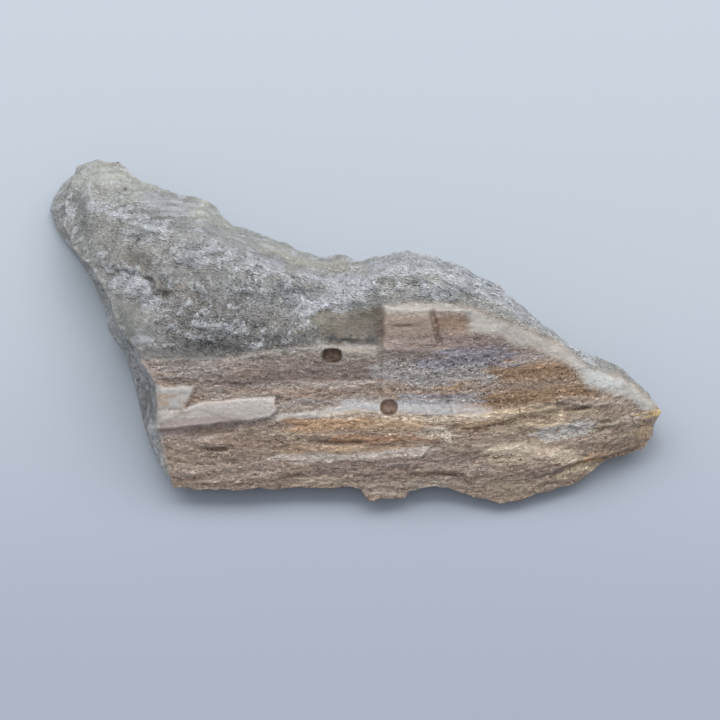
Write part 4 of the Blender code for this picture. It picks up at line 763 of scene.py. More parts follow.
def ledge_rise(points, rise, reach, width, ends, line):
    line = ragged(line)
    found = np.zeros(len(points))
    near = near_line(points, line, 4.0 * reach)
    distance, side, travel, length = along(points[near], line)
    strength = smoothstep(0.0, ends[0], travel) * smoothstep(0.0, ends[1], length - travel)
    step = smoothstep(-width / 2, width / 2, distance * side)
    found[near] = rise * step * np.exp(-distance / reach) * strength
    return found


def crack_depth(points, depth, width, line):
    line = ragged(line)
    found = np.zeros(len(points))
    near = near_line(points, line, width)
    distance, _, travel, length = along(points[near], line)
    ends = smoothstep(0.0, 1.0, travel) * smoothstep(0.0, 1.0, length - travel)
    found[near] = depth * fading(width * 0.2, width * 0.7, distance) * ends
    return found


def in_patch(points, outline, soft):
    """1 inside the outline, 0 outside, blending over soft on each side of it."""
    edge = ragged(outline + outline[:1])
    reach = along(points, edge)[0] * np.where(inside(points, edge[:-1]), 1.0, -1.0)
    return smoothstep(-soft, soft, reach)


def pit_reach(points, u, v, half_width, half_height, squareness):
    """0 at the middle of a pit and 1 at its edge."""
    across, up = np.abs(points[:, 0] - u) / half_width, np.abs(points[:, 1] - v) / half_height
    return (across**squareness + up**squareness) ** (1.0 / squareness)


def pit_depth(points, depth, *shape):
    return depth * fading(0.8, 1.1, pit_reach(points, *shape))


def relief(points):
    """The ledges, cracks and pits of the face, as rises out of it."""
    total = np.zeros(len(points))
    for ledge in LEDGES:
        total += ledge_rise(points, *ledge)
    for rise, soft, outline in PLATEAUS:
        total += rise * in_patch(points, outline, soft)
    for crack in CRACKS:
        total -= crack_depth(points, *crack)
    for boring in BORINGS:
        total -= pit_depth(points, *boring)
    for lump in LUMPS:
        total += lump_rise(points, *lump)
    return total


class FaceMap:
    """The rounded facets of the face between its stations and spot heights, on a grid."""

    STEP = 0.25
    APRON = 1.25

    def __init__(self):
        spots = [(u, v, out_of_face(v, height)) for u, v, height, _, _ in STATIONS]
        middle = np.mean([s[:2] for s in spots], axis=0)
        # The facets run on past the edge, so that rounding them doesn't pull the edge in.
        spots += [(*(middle + (np.array(s[:2]) - middle) * self.APRON), s[2]) for s in spots]
        spots += [(u, v, out_of_face(v, height)) for u, v, height in SPOT_HEIGHTS]
        flat, faces = triangles([s[:2] for s in spots])
        out = {tuple(np.round(s[:2], 3)): s[2] for s in spots}
        facets = BVHTree.FromPolygons([(*p, out[tuple(np.round(p, 3))]) for p in flat], faces)
        self.low = np.min(flat, axis=0)
        high = np.max(flat, axis=0)
        self.shape = [int(n) for n in np.ceil((high - self.low) / self.STEP) + 1]
        heights = np.zeros(self.shape)
        for i in range(self.shape[0]):
            for j in range(self.shape[1]):
                start = (*(self.low + np.array([i, j]) * self.STEP), 100.0)
                hit = facets.ray_cast(start, (0.0, 0.0, -1.0))[0]
                heights[i, j] = hit.z if hit else np.nan
        self.heights = self.rounded(heights)

    def rounded(self, heights):
        """A blur of ROUNDING, which takes the hard arris off each facet."""
        reach = int(3 * ROUNDING / self.STEP)
        weights = np.exp(-0.5 * (np.arange(-reach, reach + 1) * self.STEP / ROUNDING) ** 2)
        known = ~np.isnan(heights)
        total, share = np.where(known, heights, 0.0), known.astype(float)
        for axis in (0, 1):
            total, share = (
                sum(w * np.roll(grid, k, axis) for w, k in zip(weights, range(-reach, reach + 1)))
                for grid in (total, share)
            )
        return np.where(known, total / np.maximum(share, 1e-9), 0.0)

    def at(self, points):
        place = (points - self.low) / self.STEP
        corner = np.clip(place.astype(int), 0, np.array(self.shape) - 2)
        fu, fv = (place - corner).T
        i, j = corner.T
        g = self.heights
        left = g[i, j] * (1 - fv) + g[i, j + 1] * fv
        right = g[i + 1, j] * (1 - fv) + g[i + 1, j + 1] * fv
        return left * (1 - fu) + right * fu


def face_points(face_map, flat):
    """The face at these (u, v) places, in its own frame."""
    out = face_map.at(flat) + relief(flat)
    out = out + texture(np.column_stack([flat, out]))
    return np.column_stack([flat, out])


def wandered(loop, step, strength):
    """The loop with a point at least every step, straying a little from its straight runs."""
    found = []
    for a, b in zip(loop, np.roll(loop, -1, axis=0)):
        count = max(1, math.ceil(np.linalg.norm(b[:2] - a[:2]) / step))
        found += [a + (b - a) * i / count for i in range(count)]
    found = np.array(found)
    places = found[:, :3].copy()
    for column, seed in ((0, 11.0), (1, 23.0)):
        found[:, column] += strength * (swell(places, 2.2, seed) + 0.35 * swell(places, 0.7, seed + 5.0))
    return found


def beside(line, step, offset):
    """Places along a line, standing that far off it to one side."""
    found = []
    for a, b in runs(line):
        length = np.linalg.norm(b - a)
        across = np.array([b[1] - a[1], a[0] - b[0]]) / length
        count = max(1, round(length / step))
        found += [a + (b - a) * k / count + across * offset for k in range(count)]
    return np.array(found + [b + across * offset])


def feature_chains(step):
    """Rows of places on both sides of each ledge, plateau edge and crack and round each boring."""
    lines = [ledge[4] for ledge in LEDGES] + [crack[2] for crack in CRACKS]
    lines += [outline + outline[:1] for _, _, outline in PLATEAUS]
    chains = []
    for line in lines:
        chains += [beside(ragged(line), step, side * FEATURE_SPREAD) for side in (-1.0, 1.0)]
    for _, u, v, half_width, half_height, squareness in BORINGS:
        angles = np.linspace(0.0, 2 * math.pi, BORING_SIDES + 1)
        turn = np.column_stack([np.cos(angles), np.sin(angles)])
        edge = np.sign(turn) * np.abs(turn) ** (2.0 / squareness) * (half_width, half_height)
        chains += [np.array([u, v]) + size * edge for size in (0.75, 1.1)]
    return chains


def grid_points(loop, step_u, step_v):
    """Staggered rows of points inside the loop, each strayed a little from its row."""
    low, high = loop.min(axis=0), loop.max(axis=0)
    rows = enumerate(np.arange(low[1], high[1], step_v))
    grid = [(u + step_u / 2 * (k % 2), v) for k, v in rows for u in np.arange(low[0], high[0], step_u)]
    solid = np.column_stack([grid, np.zeros(len(grid))])
    stray = np.column_stack([swell(solid, step_u * 0.83, 13.0), swell(solid, step_u * 0.83, 31.0)])
    grid = np.array(grid) + stray * np.array([step_u, step_v]) * 0.4
    return grid[inside(grid, loop)]


def clear_of(points, others, gap):
    """Which of the points are at least gap from all the others."""
    tree = kdtree.KDTree(len(others))
    for k, p in enumerate(others):
        tree.insert((*p, 0.0), k)
    tree.balance()
    return np.array([tree.find((*p, 0.0))[2] > gap for p in points])


def face_places(rim):
    """Where the face gets its points, and the edges among them that its mesh must keep."""
    places = list(rim)
    edges = ring(len(rim))
    for chain in feature_chains(FINE_FEATURE_STEP):
        kept = inside(chain, rim) & clear_of(chain, rim, RIM_CLEARANCE)
        numbers = len(places) + np.cumsum(kept) - 1
        edges += [(numbers[k], numbers[k + 1]) for k in range(len(chain) - 1) if kept[k] and kept[k + 1]]
        places += list(chain[kept])
    fixed = np.array(places)
    stone = grid_points(rim, FINE_STONE_STEP, FINE_STONE_STEP * ROW_SHARE)
    stone = stone[(in_wood(stone) < 0.5) & clear_of(stone, fixed, CLEAR_SHARE * FINE_STONE_STEP)]
    wood = grid_points(rim, FINE_GRAIN_ALONG, FINE_GRAIN_ACROSS)
    wood = wood[(in_wood(wood) >= 0.5) & clear_of(wood, fixed, CLEAR_SHARE * FINE_GRAIN_ACROSS)]
    return np.concatenate([fixed, stone, wood]), edges


def base_height(places):
    """How far the underside stands clear of the bench at these (x, y) places, in millimetres."""
    solid = np.column_stack([places, np.zeros(len(places))])
    lumps = BASE_HOLLOW * swell(solid, BASE_HOLLOW_SIZE, 41.0)
    lumps = lumps + 0.4 * BASE_HOLLOW * swell(solid, 3.5, 57.0)
    away = np.hypot(*(places - np.array(REST_PAD)).T)
    return lumps - 0.1 - REST_PAD_DROP * fading(REST_PAD_RADIUS, REST_PAD_RADIUS + REST_PAD_BLEND, away)


def underside(places, loop):
    """The underside's points: flat lands on the bench, hollows between, edges rounded up."""
    edge = np.min([along(places, [a, b])[0] for a, b in zip(loop, np.roll(loop, -1, axis=0))], axis=0)
    height = base_height(places) + BASE_LIFT * fading(0.0, BASE_LIFT_WIDTH, edge)
    return np.column_stack([places, np.maximum(height, 0.0)])


def wall_points(top, foot, rows):
    """Rows of points from the face's edge down to the foot, swelling and hackly between."""
    towards = np.roll(top, -1, axis=0) - np.roll(top, 1, axis=0)
    outward = np.column_stack([-towards[:, 1], towards[:, 0], np.zeros(len(top))])
    outward /= np.linalg.norm(outward, axis=1)[:, None]
    made = [top]
    for k in range(1, rows):
        share = k / rows
        row = top + (foot - top) * share
        lumps = WALL_SWELL * swell(row, WALL_SWELL_SIZE, 71.0) + texture(face_frame(row))
        made.append(row + outward * (lumps * math.sin(math.pi * share))[:, None])
    return made + [foot]


def chunk_mesh():
    """The chunk's closed mesh: its face, the wall round it and its underside."""
    face_map = FaceMap()
    stations = np.array([(u, v, 0.0, fu, fv) for u, v, _, fu, fv in STATIONS])
    edge = wandered(stations, FINE_EDGE_STEP, EDGE_WANDER)
    rim = edge[:, :2]
    flat, face_faces = triangles(*face_places(rim))
    face = [row_point(*p) for p in face_points(face_map, np.array(flat))]

    top = np.array([row_point(*p) for p in face_points(face_map, rim)]) / MM
    foot = np.array([row_point(u, v, out_of_face(v, 0.0)) for u, v in edge[:, 3:]]) / MM
    foot = underside(foot[:, :2], foot[:, :2])
    rows = wall_points(top, foot, FINE_WALL_ROWS)

    loop = foot[:, :2]
    places = grid_points(loop, FINE_BASE_STEP, FINE_BASE_STEP * ROW_SHARE)
    places = places[clear_of(places, loop, CLEAR_SHARE * FINE_BASE_STEP)]
    base, base_faces = triangles(np.concatenate([loop, places]), ring(len(loop)))
    base = underside(np.array(base), loop)

    mesh = bmesh.new()
    add_faces(mesh, face, face_faces, flip=False)
    add_faces(mesh, base * MM, base_faces, flip=True)
    add_wall(mesh, [row * MM for row in rows])
    bmesh.ops.remove_doubles(mesh, verts=mesh.verts, dist=1e-6)
    bmesh.ops.triangulate(mesh, faces=mesh.faces)
    bmesh.ops.recalc_face_normals(mesh, faces=mesh.faces)
    return mesh


def add_faces(mesh, points, faces, flip):
    verts = [mesh.verts.new(p) for p in points]
    for face in faces:
        corners = [verts[k] for k in face]
        mesh.faces.new(corners[::-1] if flip else corners)


def add_wall(mesh, rows):
    grid = [[mesh.verts.new(p) for p in row] for row in rows]
    count = len(grid[0])
    for upper, lower in zip(grid[:-1], grid[1:]):
        for k in range(count):
            after = (k + 1) % count
            mesh.faces.new((upper[k], upper[after], lower[after], lower[k]))


def grains(points, size, seed):
    """0 at the middle of each grain, rising to about 1 between grains."""
    return np.array([noise.voronoi(noise_place(p, size, seed))[0][0] for p in points])


def crust_level(solid):
    """Above 0 where a thin pale crust lies over the stone, below 0 where the stone is bare."""
    sheet = swell(solid * np.array([0.6, 1.0, 1.0]), 1.1, 17.0) + 0.35 * swell(solid, 0.5, 97.0)
    return sheet - 0.35 + 0.65 * zoned(solid[:, :2], 0.15, CRUSTY)


def fine_stone(solid):
    """Thin crusts, small facets and sand grains."""
    crust = CRUST_RISE * smoothstep(0.0, 0.1, crust_level(solid))
    facets = FACET_RISE * hackle(solid, FACET_SIZE, 4.0)
    return crust + facets - SAND_DEPTH * grains(solid, SAND_SIZE, 6.0)


def fine_wood(solid):
    """Splits, short crinkled fibres and flaked ends along the grain."""
    u, v, out = solid.T
    grain = across_grain(u, v) + 0.16 * swell(solid, 1.0, 83.0)
    splits = swell(stretched(u, grain, out, (2.2, 0.5, 0.9)), 1.0, 19.0)
    fibres = swell(stretched(u, grain, out, (0.7, 0.22, 0.4)), 1.0, 27.0)
    flakes = grains(stretched(u, grain, out, (0.8, 0.36, 0.6)), 1.0, 37.0)
    steps = SPLIT_RISE * (smoothstep(-0.1, 0.1, splits) - 0.5)
    return steps + FIBRE_RISE * fibres - FLAKE_DEPTH * flakes


def rim_cover(points, softness=0.4):
    """1 on the white rim, 0 off it."""
    return in_patch(points, WHITE_RIM, softness)


def smoothness(points):
    """1 on the smooth pale blocks and nearly so on the white rim, 0 on rough wood."""
    blocks = np.maximum(in_patch(points, SMALL_BLOCK, 0.2), in_patch(points, LONG_BLOCK, 0.2))
    return np.maximum(np.maximum(blocks, 0.95 * rim_cover(points)), zoned(points, 0.0, SMOOTH_WOOD))


def texture(solid):
    """The broken surface of stone and wood at these (u, v, out) places, as rises out of it."""
    stone = STONE_SWELL * swell(solid, STONE_SWELL_SIZE, 3.7)
    stone = stone + STONE_HACKLE * hackle(solid, STONE_HACKLE_SIZE, 2.0)
    wood = np.maximum(in_wood(solid[:, :2]), rim_cover(solid[:, :2]))
    rough = 1.0 - 0.8 * smoothness(solid[:, :2])
    calm = zoned(solid[:, :2], 0.0, CALM)
    stone = stone + fine_stone(solid) * rough * (1.0 - 0.7 * calm) + 0.2 * calm * swell(solid, 1.5, 29.0)
    wooden = terraces(solid) * (0.3 + 0.5 * rough) + fine_wood(solid) * rough
    return wood * wooden + (1.0 - wood) * stone


def linear(colour):
    """A daylight colour as the light that it sends back."""
    value = np.array(colour) / 255.0
    return np.where(value <= 0.04045, value / 12.92, ((value + 0.055) / 1.055) ** 2.4)


def streaked(solid):
    """Places strayed along the grain, which draws a mark's edges out into streaks."""
    u, v, out = solid.T
    grain = across_grain(u, v)
    far = swell(stretched(u, grain, out, (4.0, 0.45, 2.0)), 1.0, 43.0)
    near = swell(stretched(u, grain, out, (2.5, 0.7, 2.0)), 1.0, 47.0)
    return np.column_stack([u + 2.5 * far, v + 0.45 * near])


def blotched(solid):
    """Places strayed every way, which makes a mark's edge ragged, and more so low down on the chunk."""
    stray = [swell(solid, 1.1, seed) + 0.5 * swell(solid, 0.4, seed + 5.0) for seed in (53.0, 59.0)]
    drift = [swell(solid, 3.2, seed) for seed in (67.0, 71.0)]
    height = solid[:, 1] * math.sin(FACE_LEAN) + solid[:, 2] * math.cos(FACE_LEAN)
    low = fading(*LOW_DOWN, height)[:, None]
    return solid[:, :2] + (0.9 + 0.9 * low) * np.column_stack(stray) + 3.0 * low * np.column_stack(drift)


def laid_over(tint, colour, cover):
    """The tint with the colour over it where cover is 1, and part of it where cover is less."""
    return tint + (colour - tint) * cover[:, None]


def painted(tint, places, marks):
    """The tint with each mark laid over it in turn."""
    for colour, strength, half_width, line in marks:
        distance = along(places, line)[0]
        cover = strength * fading(0.45 * half_width, 1.35 * half_width, distance)
        tint = laid_over(tint, linear(colour), cover)
    return tint


def zoned(places, background, zones):
    """How strongly a zoned texture shows at each place."""
    found = np.full(len(places), background)
    for strength, half_width, line in zones:
        cover = fading(0.5 * half_width, 1.4 * half_width, along(places, line)[0])
        found += (strength - found) * cover
    return found


def wood_tint(solid):
    places = streaked(solid)
    tint = painted(np.tile(linear(TAN), (len(solid), 1)), places, WOOD_BANDS)
    for colour, outline in ((SMALL_BLOCK_COLOUR, SMALL_BLOCK), (LONG_BLOCK_COLOUR, LONG_BLOCK)):
        cover = BLOCK_COVER * in_patch(0.5 * (solid[:, :2] + places), outline, 0.35)
        tint = laid_over(tint, linear(colour), cover)
    tint = painted(tint, places, BLOCK_STAINS_AND_PAINTED_SHADOW)
    for colour, (_, *shape) in zip(BORING_COLOURS, BORINGS):
        cover = fading(0.85, 1.1, pit_reach(solid, *shape))
        tint = laid_over(tint, linear(colour), cover)
    return tint


def stone_tint(solid):
    tint = painted(np.tile(linear(STONE_GREY), (len(solid), 1)), blotched(solid), STONE_STAINS_AND_PAINTED_LIGHT)
    specks = [
        (SPECK_COLOUR, SPECK_COVER, SPECK_HALF_WIDTH, [(u, v), (u + 0.1, v)]) for u, v in SPECKS
    ]
    return painted(tint, solid[:, :2], specks)


def rimmed(tint, solid, cover):
    """The tint with the rim over it, cream at the left and white at the right."""
    places = [u for u, _ in RIM_TONES]
    tones = linear([colour for _, colour in RIM_TONES])
    rim = np.column_stack([np.interp(solid[:, 0], places, tones[:, k]) for k in range(3)])
    return laid_over(tint, WOOD_LIGHT * rim, RIM_COVER * cover)


def wood_depth(solid):
    """1 where the wood is, through the chunk: a bed BED_THICKNESS thick behind its face."""
    face = np.maximum(in_wood(solid[:, :2]), rim_cover(solid[:, :2]))
    depth = BED_FACE - solid[:, 2] + 0.6 * swell(solid, 3.0, 61.0)
    return face * fading(BED_THICKNESS - 0.3, BED_THICKNESS + 0.3, depth)


def vertex_rows(mesh, name):
    """The places or the normals of the mesh's vertices, one row each."""
    values = np.empty(len(mesh.vertices) * 3)
    mesh.vertices.foreach_get(name, values)
    return values.reshape(-1, 3)


def cavities(mesh, rounds):
    """How deep each vertex lies below its surroundings, in millimetres, negative on crests."""
    count = len(mesh.vertices)
    co = vertex_rows(mesh, "co") / MM
    ends = np.empty(len(mesh.edges) * 2, np.int32)
    mesh.edges.foreach_get("vertices", ends)
    a, b = ends.reshape(-1, 2).T
    number = np.bincount(a, minlength=count) + np.bincount(b, minlength=count)
    smooth = co
    for _ in range(rounds):
        total = [np.bincount(a, row[b], count) + np.bincount(b, row[a], count) for row in smooth.T]
        smooth = 0.5 * smooth + 0.5 * np.column_stack(total) / number[:, None]
    return np.sum((smooth - co) * vertex_rows(mesh, "normal"), axis=1)


def flake_lie(solid):
    """Each place as (along, across, out) of the way the stone's flakes lie."""
    u, v, out = solid.T
    dip_sin, dip_cos = math.sin(FLAKE_DIP), math.cos(FLAKE_DIP)
    return np.column_stack([u * dip_cos - v * dip_sin, u * dip_sin + v * dip_cos, out])


def write_attributes(mesh, **layers):
    """Gives the vertices each layer of numbers, vectors of three or colours of four."""
    kinds = {1: ("FLOAT", "value"), 3: ("FLOAT_VECTOR", "vector"), 4: ("FLOAT_COLOR", "color")}
    for name, values in layers.items():
        values = np.ascontiguousarray(values, np.float32)
        kind, channel = kinds[values.size // len(mesh.vertices)]
        mesh.attributes.new(name, kind, "POINT").data.foreach_set(channel, values.ravel())


def colour_surface(mesh):
    """Writes what the material reads, from where each vertex lies and how deep its hollow is; the depths of
    hollows become painted shade in the material.
    """
    solid = face_frame(vertex_rows(mesh, "co") / MM)
    wood = wood_depth(solid)
    wood_share, stone_share = WOOD_LIGHT * wood[:, None], STONE_LIGHT * (1.0 - wood[:, None])
    tint = wood_share * wood_tint(solid) + stone_share * stone_tint(solid)
    places = blotched(solid)
    tint = rimmed(tint, solid, wood * rim_cover(0.5 * solid[:, :2] + 0.5 * places, 0.7))
    calm = zoned(places, 0.0, CALM)
    sand = (1.0 - wood) * (1.0 - 0.6 * calm) * zoned(places, 0.4, SUGARY)
    write_attributes(
        mesh,
        tint=np.column_stack([tint, np.ones(len(tint))]),
        wood=wood,
        polish=smoothness(solid[:, :2]) * wood,
        flaky=(1.0 - wood) * (1.0 - calm) * zoned(places, 0.6, FLAKY),
        crust=crust_level(solid) - 2.0 * wood,
        sugary=sand + wood * zoned(streaked(solid), 0.0, GRANULAR_WOOD),
        grain=np.column_stack([solid[:, 0], across_grain(solid[:, 0], solid[:, 1]), solid[:, 2]]),
        flake_lie=flake_lie(solid),
        # How deep each vertex's hollow is, which the material turns into painted shade in hollows and a
        # painted highlight on crests.
        hollow_fine=cavities(mesh, FINE_ROUNDS),
        hollow_broad=cavities(mesh, BROAD_ROUNDS),
    )


class Nodes:
    """Short ways to add and join the nodes of a material."""

    def __init__(self, material):
        material.use_nodes = True
        self.tree = material.node_tree
        self.shader = self.tree.nodes["Principled BSDF"]

    def add(self, kind, inputs=None, **settings):
        node = self.tree.nodes.new(kind)
        for name, value in settings.items():
            setattr(node, name, value)
        for key, value in (inputs or {}).items():
            self.join(value, node.inputs[key])
        return node

    def join(self, value, socket):
        if isinstance(value, bpy.types.NodeSocket):
            self.tree.links.new(value, socket)
        else:
            socket.default_value = value

    def math(self, operation, a, b):
        return self.add("ShaderNodeMath", {0: a, 1: b}, operation=operation).outputs[0]

    def total(self, first, *others):
        for value in others:
            first = self.math("ADD", first, value)
        return first

    def inverse(self, value):
        return self.math("SUBTRACT", 1.0, value)

    def ramp(self, value, low, high, to_low=0.0, to_high=1.0):
        inputs = {"Value": value, "From Min": low, "From Max": high, "To Min": to_low, "To Max": to_high}
        return self.add("ShaderNodeMapRange", inputs, interpolation_type="SMOOTHSTEP").outputs[0]

    def mix(self, share, a, b, blend="MIX"):
        node = self.add("ShaderNodeMix", data_type="RGBA", blend_type=blend)
        self.join(share, node.inputs["Factor"])
        self.join(a, node.inputs["A"])
        self.join(b, node.inputs["B"])
        return node.outputs["Result"]

    def scaled(self, vector, scale):
        return self.add("ShaderNodeVectorMath", {0: vector, 1: scale}, operation="MULTIPLY").outputs[0]

    def shifted(self, vector, shift):
        return self.add("ShaderNodeVectorMath", {0: vector, 1: shift}, operation="ADD").outputs[0]

    def noise(self, vector, scale=1.0, detail=3.0, roughness=0.5):
        inputs = {"Vector": vector, "Scale": scale, "Detail": detail, "Roughness": roughness}
        return self.add("ShaderNodeTexNoise", inputs).outputs["Fac"]

    def varied(self, value, reach, low=0.3, high=0.7):
        """Noise that mostly lies between low and high, spread out to run from -reach to reach."""
        return self.ramp(value, low, high, -reach, reach)

    def attribute(self, name, output):
        return self.add("ShaderNodeAttribute", attribute_name=name).outputs[output]


def crinkled(n):
    """The place along and across the grain, bent in long waves and finely crinkled."""
    grain = n.attribute("grain", "Vector")
    wave = n.varied(n.noise(n.scaled(grain, (0.9, 1.3, 1.3)), detail=2.0), 0.2)
    crinkle = n.varied(n.noise(n.scaled(grain, (3.6, 3.0, 3.0)), detail=1.0), 0.07)
    bend = n.add("ShaderNodeCombineXYZ", {"Y": n.math("ADD", wave, crinkle)}).outputs[0]
    return n.shifted(grain, bend)


def shingles(n, lie, scale, shift, threshold):
    """Where thin flakes lie, a painted highlight on their lower lips and a painted shadow line just under
    those.
    """
    sheets = []
    for offset in (0.0, -shift, shift):
        sheet = n.noise(n.scaled(n.shifted(lie, (0.0, offset, 0.0)), scale), detail=3.0, roughness=0.6)
        sheets.append(n.ramp(sheet, threshold - 0.012, threshold + 0.012))
    here, below, above = sheets
    # Painted highlight along each flake's lower lip, and a painted shadow line just below it.
    highlight_lip = n.math("MULTIPLY", here, n.inverse(below))
    line = n.math("MULTIPLY", n.inverse(here), above)
    return here, highlight_lip, line


def weighed(n, *pairs):
    """The sum of the values, each times its weight."""
    return n.total(*(n.math("MULTIPLY", value, weight) for value, weight in pairs))


def wood_gain(n):
    """How much lighter or darker than its tint the wood is, and its height: flakes, fibres, streaks, and the
    painted highlights and shadow lines at the flakes' edges.
    """
    grain = crinkled(n)
    flakes = n.add("ShaderNodeTexVoronoi", {"Vector": n.scaled(grain, (0.9, 4.6, 4.6)), "Scale": 1.0})
    flake_tone = n.add("ShaderNodeSeparateColor", {"Color": flakes.outputs["Color"]}).outputs["Red"]
    fibre = n.noise(n.scaled(grain, (2.2, 10.0, 10.0)), detail=4.0, roughness=0.75)
    streak = n.noise(n.scaled(grain, (0.3, 2.6, 2.6)), detail=3.0, roughness=0.55)
    slit = n.noise(n.scaled(grain, (0.9, 6.5, 6.5)), detail=2.0, roughness=0.5)
    splinter, highlight_lip, line = shingles(n, grain, (0.55, 3.4, 3.4), 0.1, 0.53)
    sliver, sliver_highlight, sliver_shadow = shingles(n, grain, (1.3, 7.0, 7.0), 0.06, 0.53)
    # The lips are painted highlights and the lines painted shadows.
    parts = [(splinter, 0.07), (highlight_lip, 0.5), (line, -0.3)]
    parts += [(sliver, 0.05), (sliver_highlight, 0.65), (sliver_shadow, -0.42)]
    tones = (n.varied(fibre, 0.24, 0.38, 0.62), n.varied(streak, 0.1), n.varied(flake_tone, 0.08, 0.0, 1.0))
    gain = n.total(*tones, n.ramp(slit, 0.4, 0.3, 0.0, -0.2), weighed(n, *parts))
    sheets = weighed(n, (flakes.outputs["Distance"], -0.5), (splinter, 0.5), (sliver, 0.25))
    return gain, n.total(fibre, n.ramp(slit, 0.4, 0.3, 0.0, -0.8), sheets)


def flake_gain(n):
    """The same for the stone's thin flakes and chips, with painted highlights on their lips and painted
    shadow lines under them.
    """
    lie = n.attribute("flake_lie", "Vector")
    flake, highlight_lip, line = shingles(n, lie, (0.6, 1.2, 1.2), 0.14, 0.52)
    chip, chip_highlight, chip_shadow = shingles(n, lie, (1.5, 2.8, 2.8), 0.09, 0.54)
    speck, speck_highlight, speck_shadow = shingles(n, lie, (3.4, 5.5, 5.5), 0.07, 0.56)
    # The lips are painted highlights and the lines painted shadows.
    parts = [(flake, 0.1), (highlight_lip, 0.5), (line, -0.4), (chip, 0.06), (chip_highlight, 0.6), (chip_shadow, -0.45)]
    parts += [(speck, 0.06), (speck_highlight, 0.85), (speck_shadow, -0.6)]
    return weighed(n, *parts), weighed(n, (flake, 0.6), (chip, 0.3), (speck, 0.15))


def crusted(n, tint, place):
    """The tint with thin pale crusts over it, and a painted highlight along their edges with a painted
    shadow just outside them.
    """
    fray = n.varied(n.noise(place, 2.6, 5.0, 0.7), 0.3)
    level = n.math("ADD", n.attribute("crust", "Fac"), fray)
    crust, inner, outer = (n.ramp(level, low, low + 0.05) for low in (0.0, 0.09, -0.09))
    # rim is a painted highlight inside each crust's edge, foot a painted shadow just outside it.
    rim = n.math("MULTIPLY", crust, n.inverse(inner))
    foot = n.math("MULTIPLY", outer, n.inverse(crust))
    pale = (*(STONE_LIGHT * linear(CRUST_WHITE)), 1.0)
    cover = n.math("MULTIPLY", crust, CRUST_COVER)
    return n.mix(cover, tint, pale), weighed(n, (rim, 0.22), (foot, -0.2))


def grain_gain(n, place):
    """The same for sugary grains, each with its own tone and tilt."""
    grains = n.add("ShaderNodeTexVoronoi", {"Vector": place, "Scale": 5.0})
    pick = n.add("ShaderNodeSeparateColor", {"Color": grains.outputs["Color"]})
    tones = n.total(
        n.ramp(pick.outputs["Red"], 0.0, 1.0, -0.32, 0.3),
        # The brightest grains are partly white quartz and partly painted glints.
        n.ramp(pick.outputs["Green"], 0.86, 0.92, 0.0, 0.7),
        n.ramp(pick.outputs["Blue"], 0.86, 0.92, 0.0, -0.4),
    )
    tilt = n.shifted(grains.outputs["Color"], (-0.5, -0.5, -0.5))
    return tones, n.inverse(grains.outputs["Distance"]), tilt


def gained(n, tint, gain, wood):
    """The tint made lighter or darker by the gain, painted shade and highlights included. The wood turns
    browner as it darkens, in its hollows too.
    """
    dark, light = n.math("MINIMUM", gain, 1.0), n.math("MAXIMUM", gain, 1.0)
    bands = {}
    powers = (("Red", 0.95, -0.15), ("Green", 1.0, 0.04), ("Blue", 1.03, 0.22))
    for band, in_stone, more_in_wood in powers:
        power = n.math("ADD", n.math("MULTIPLY", wood, more_in_wood), in_stone)
        bands[band] = n.math("MULTIPLY", n.math("POWER", dark, power), light)
    return n.mix(1.0, tint, n.add("ShaderNodeCombineColor", bands).outputs[0], "MULTIPLY")


def surface_material():
    """Silicified wood and sugary stone in one material, told apart by the surface's attributes."""
    material = bpy.data.materials.new("silicified_surface")
    n = Nodes(material)
    wood, polish = n.attribute("wood", "Fac"), n.attribute("polish", "Fac")
    flaky, sugary = n.attribute("flaky", "Fac"), n.attribute("sugary", "Fac")
    fibrous = n.math("MULTIPLY", wood, n.inverse(n.math("MULTIPLY", polish, 0.8)))
    place = n.scaled(n.add("ShaderNodeTexCoord").outputs["Object"], (1.0 / MM,) * 3)
    fibre_gain, fibre_height = wood_gain(n)
    sheet_gain, sheet_height = flake_gain(n)
    sand_gain, sand_height, sand_tilt = grain_gain(n, place)

    tint, crust_edge_light_and_shade = crusted(n, n.attribute("tint", "Color"), place)

    gain = n.total(
        weighed(n, (fibre_gain, fibrous), (sheet_gain, flaky), (sand_gain, sugary)),
        # Painted highlight and shadow at the crusts' edges.
        crust_edge_light_and_shade,
        n.varied(n.noise(place, 2.4, 5.0, 0.75), 0.14),
        # Painted shade: darker in fine and broad hollows, lighter on crests.
        n.ramp(n.attribute("hollow_fine", "Fac"), -0.06, 0.06, 0.15, -0.18),
        n.ramp(n.attribute("hollow_broad", "Fac"), -0.2, 0.25, 0.07, -0.12),
        1.0,
    )
    n.join(gained(n, tint, gain, wood), n.shader.inputs["Base Color"])

    sand_height = n.math("MULTIPLY", sand_height, 0.6)
    height = weighed(n, (fibre_height, fibrous), (sheet_height, flaky), (sand_height, sugary))
    bump = n.add("ShaderNodeBump", {"Height": height, "Strength": 0.9, "Distance": BUMP_HEIGHT})
    tilt = n.add("ShaderNodeVectorMath", {0: sand_tilt}, operation="SCALE")
    n.join(n.math("MULTIPLY", sugary, 0.5), tilt.inputs["Scale"])
    normal = n.shifted(bump.outputs[0], tilt.outputs[0])
    normal = n.add("ShaderNodeVectorMath", {0: normal}, operation="NORMALIZE")
    n.join(normal.outputs[0], n.shader.inputs["Normal"])

    rough = n.total(weighed(n, (wood, 0.3), (polish, -0.2)), 0.45)
    n.join(rough, n.shader.inputs["Roughness"])
    return material


def keep_in_box(mesh):
    """Presses the few grains that stand out of the solid's box back to its faces."""
    low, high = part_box("petrified_wood")
    mesh.vertices.foreach_set("co", np.clip(vertex_rows(mesh, "co"), low, high).ravel())


def placed(name, data):
    """A new object of the scene that shows the data."""
    made = bpy.data.objects.new(name, data)
    bpy.context.scene.collection.objects.link(made)
    return made


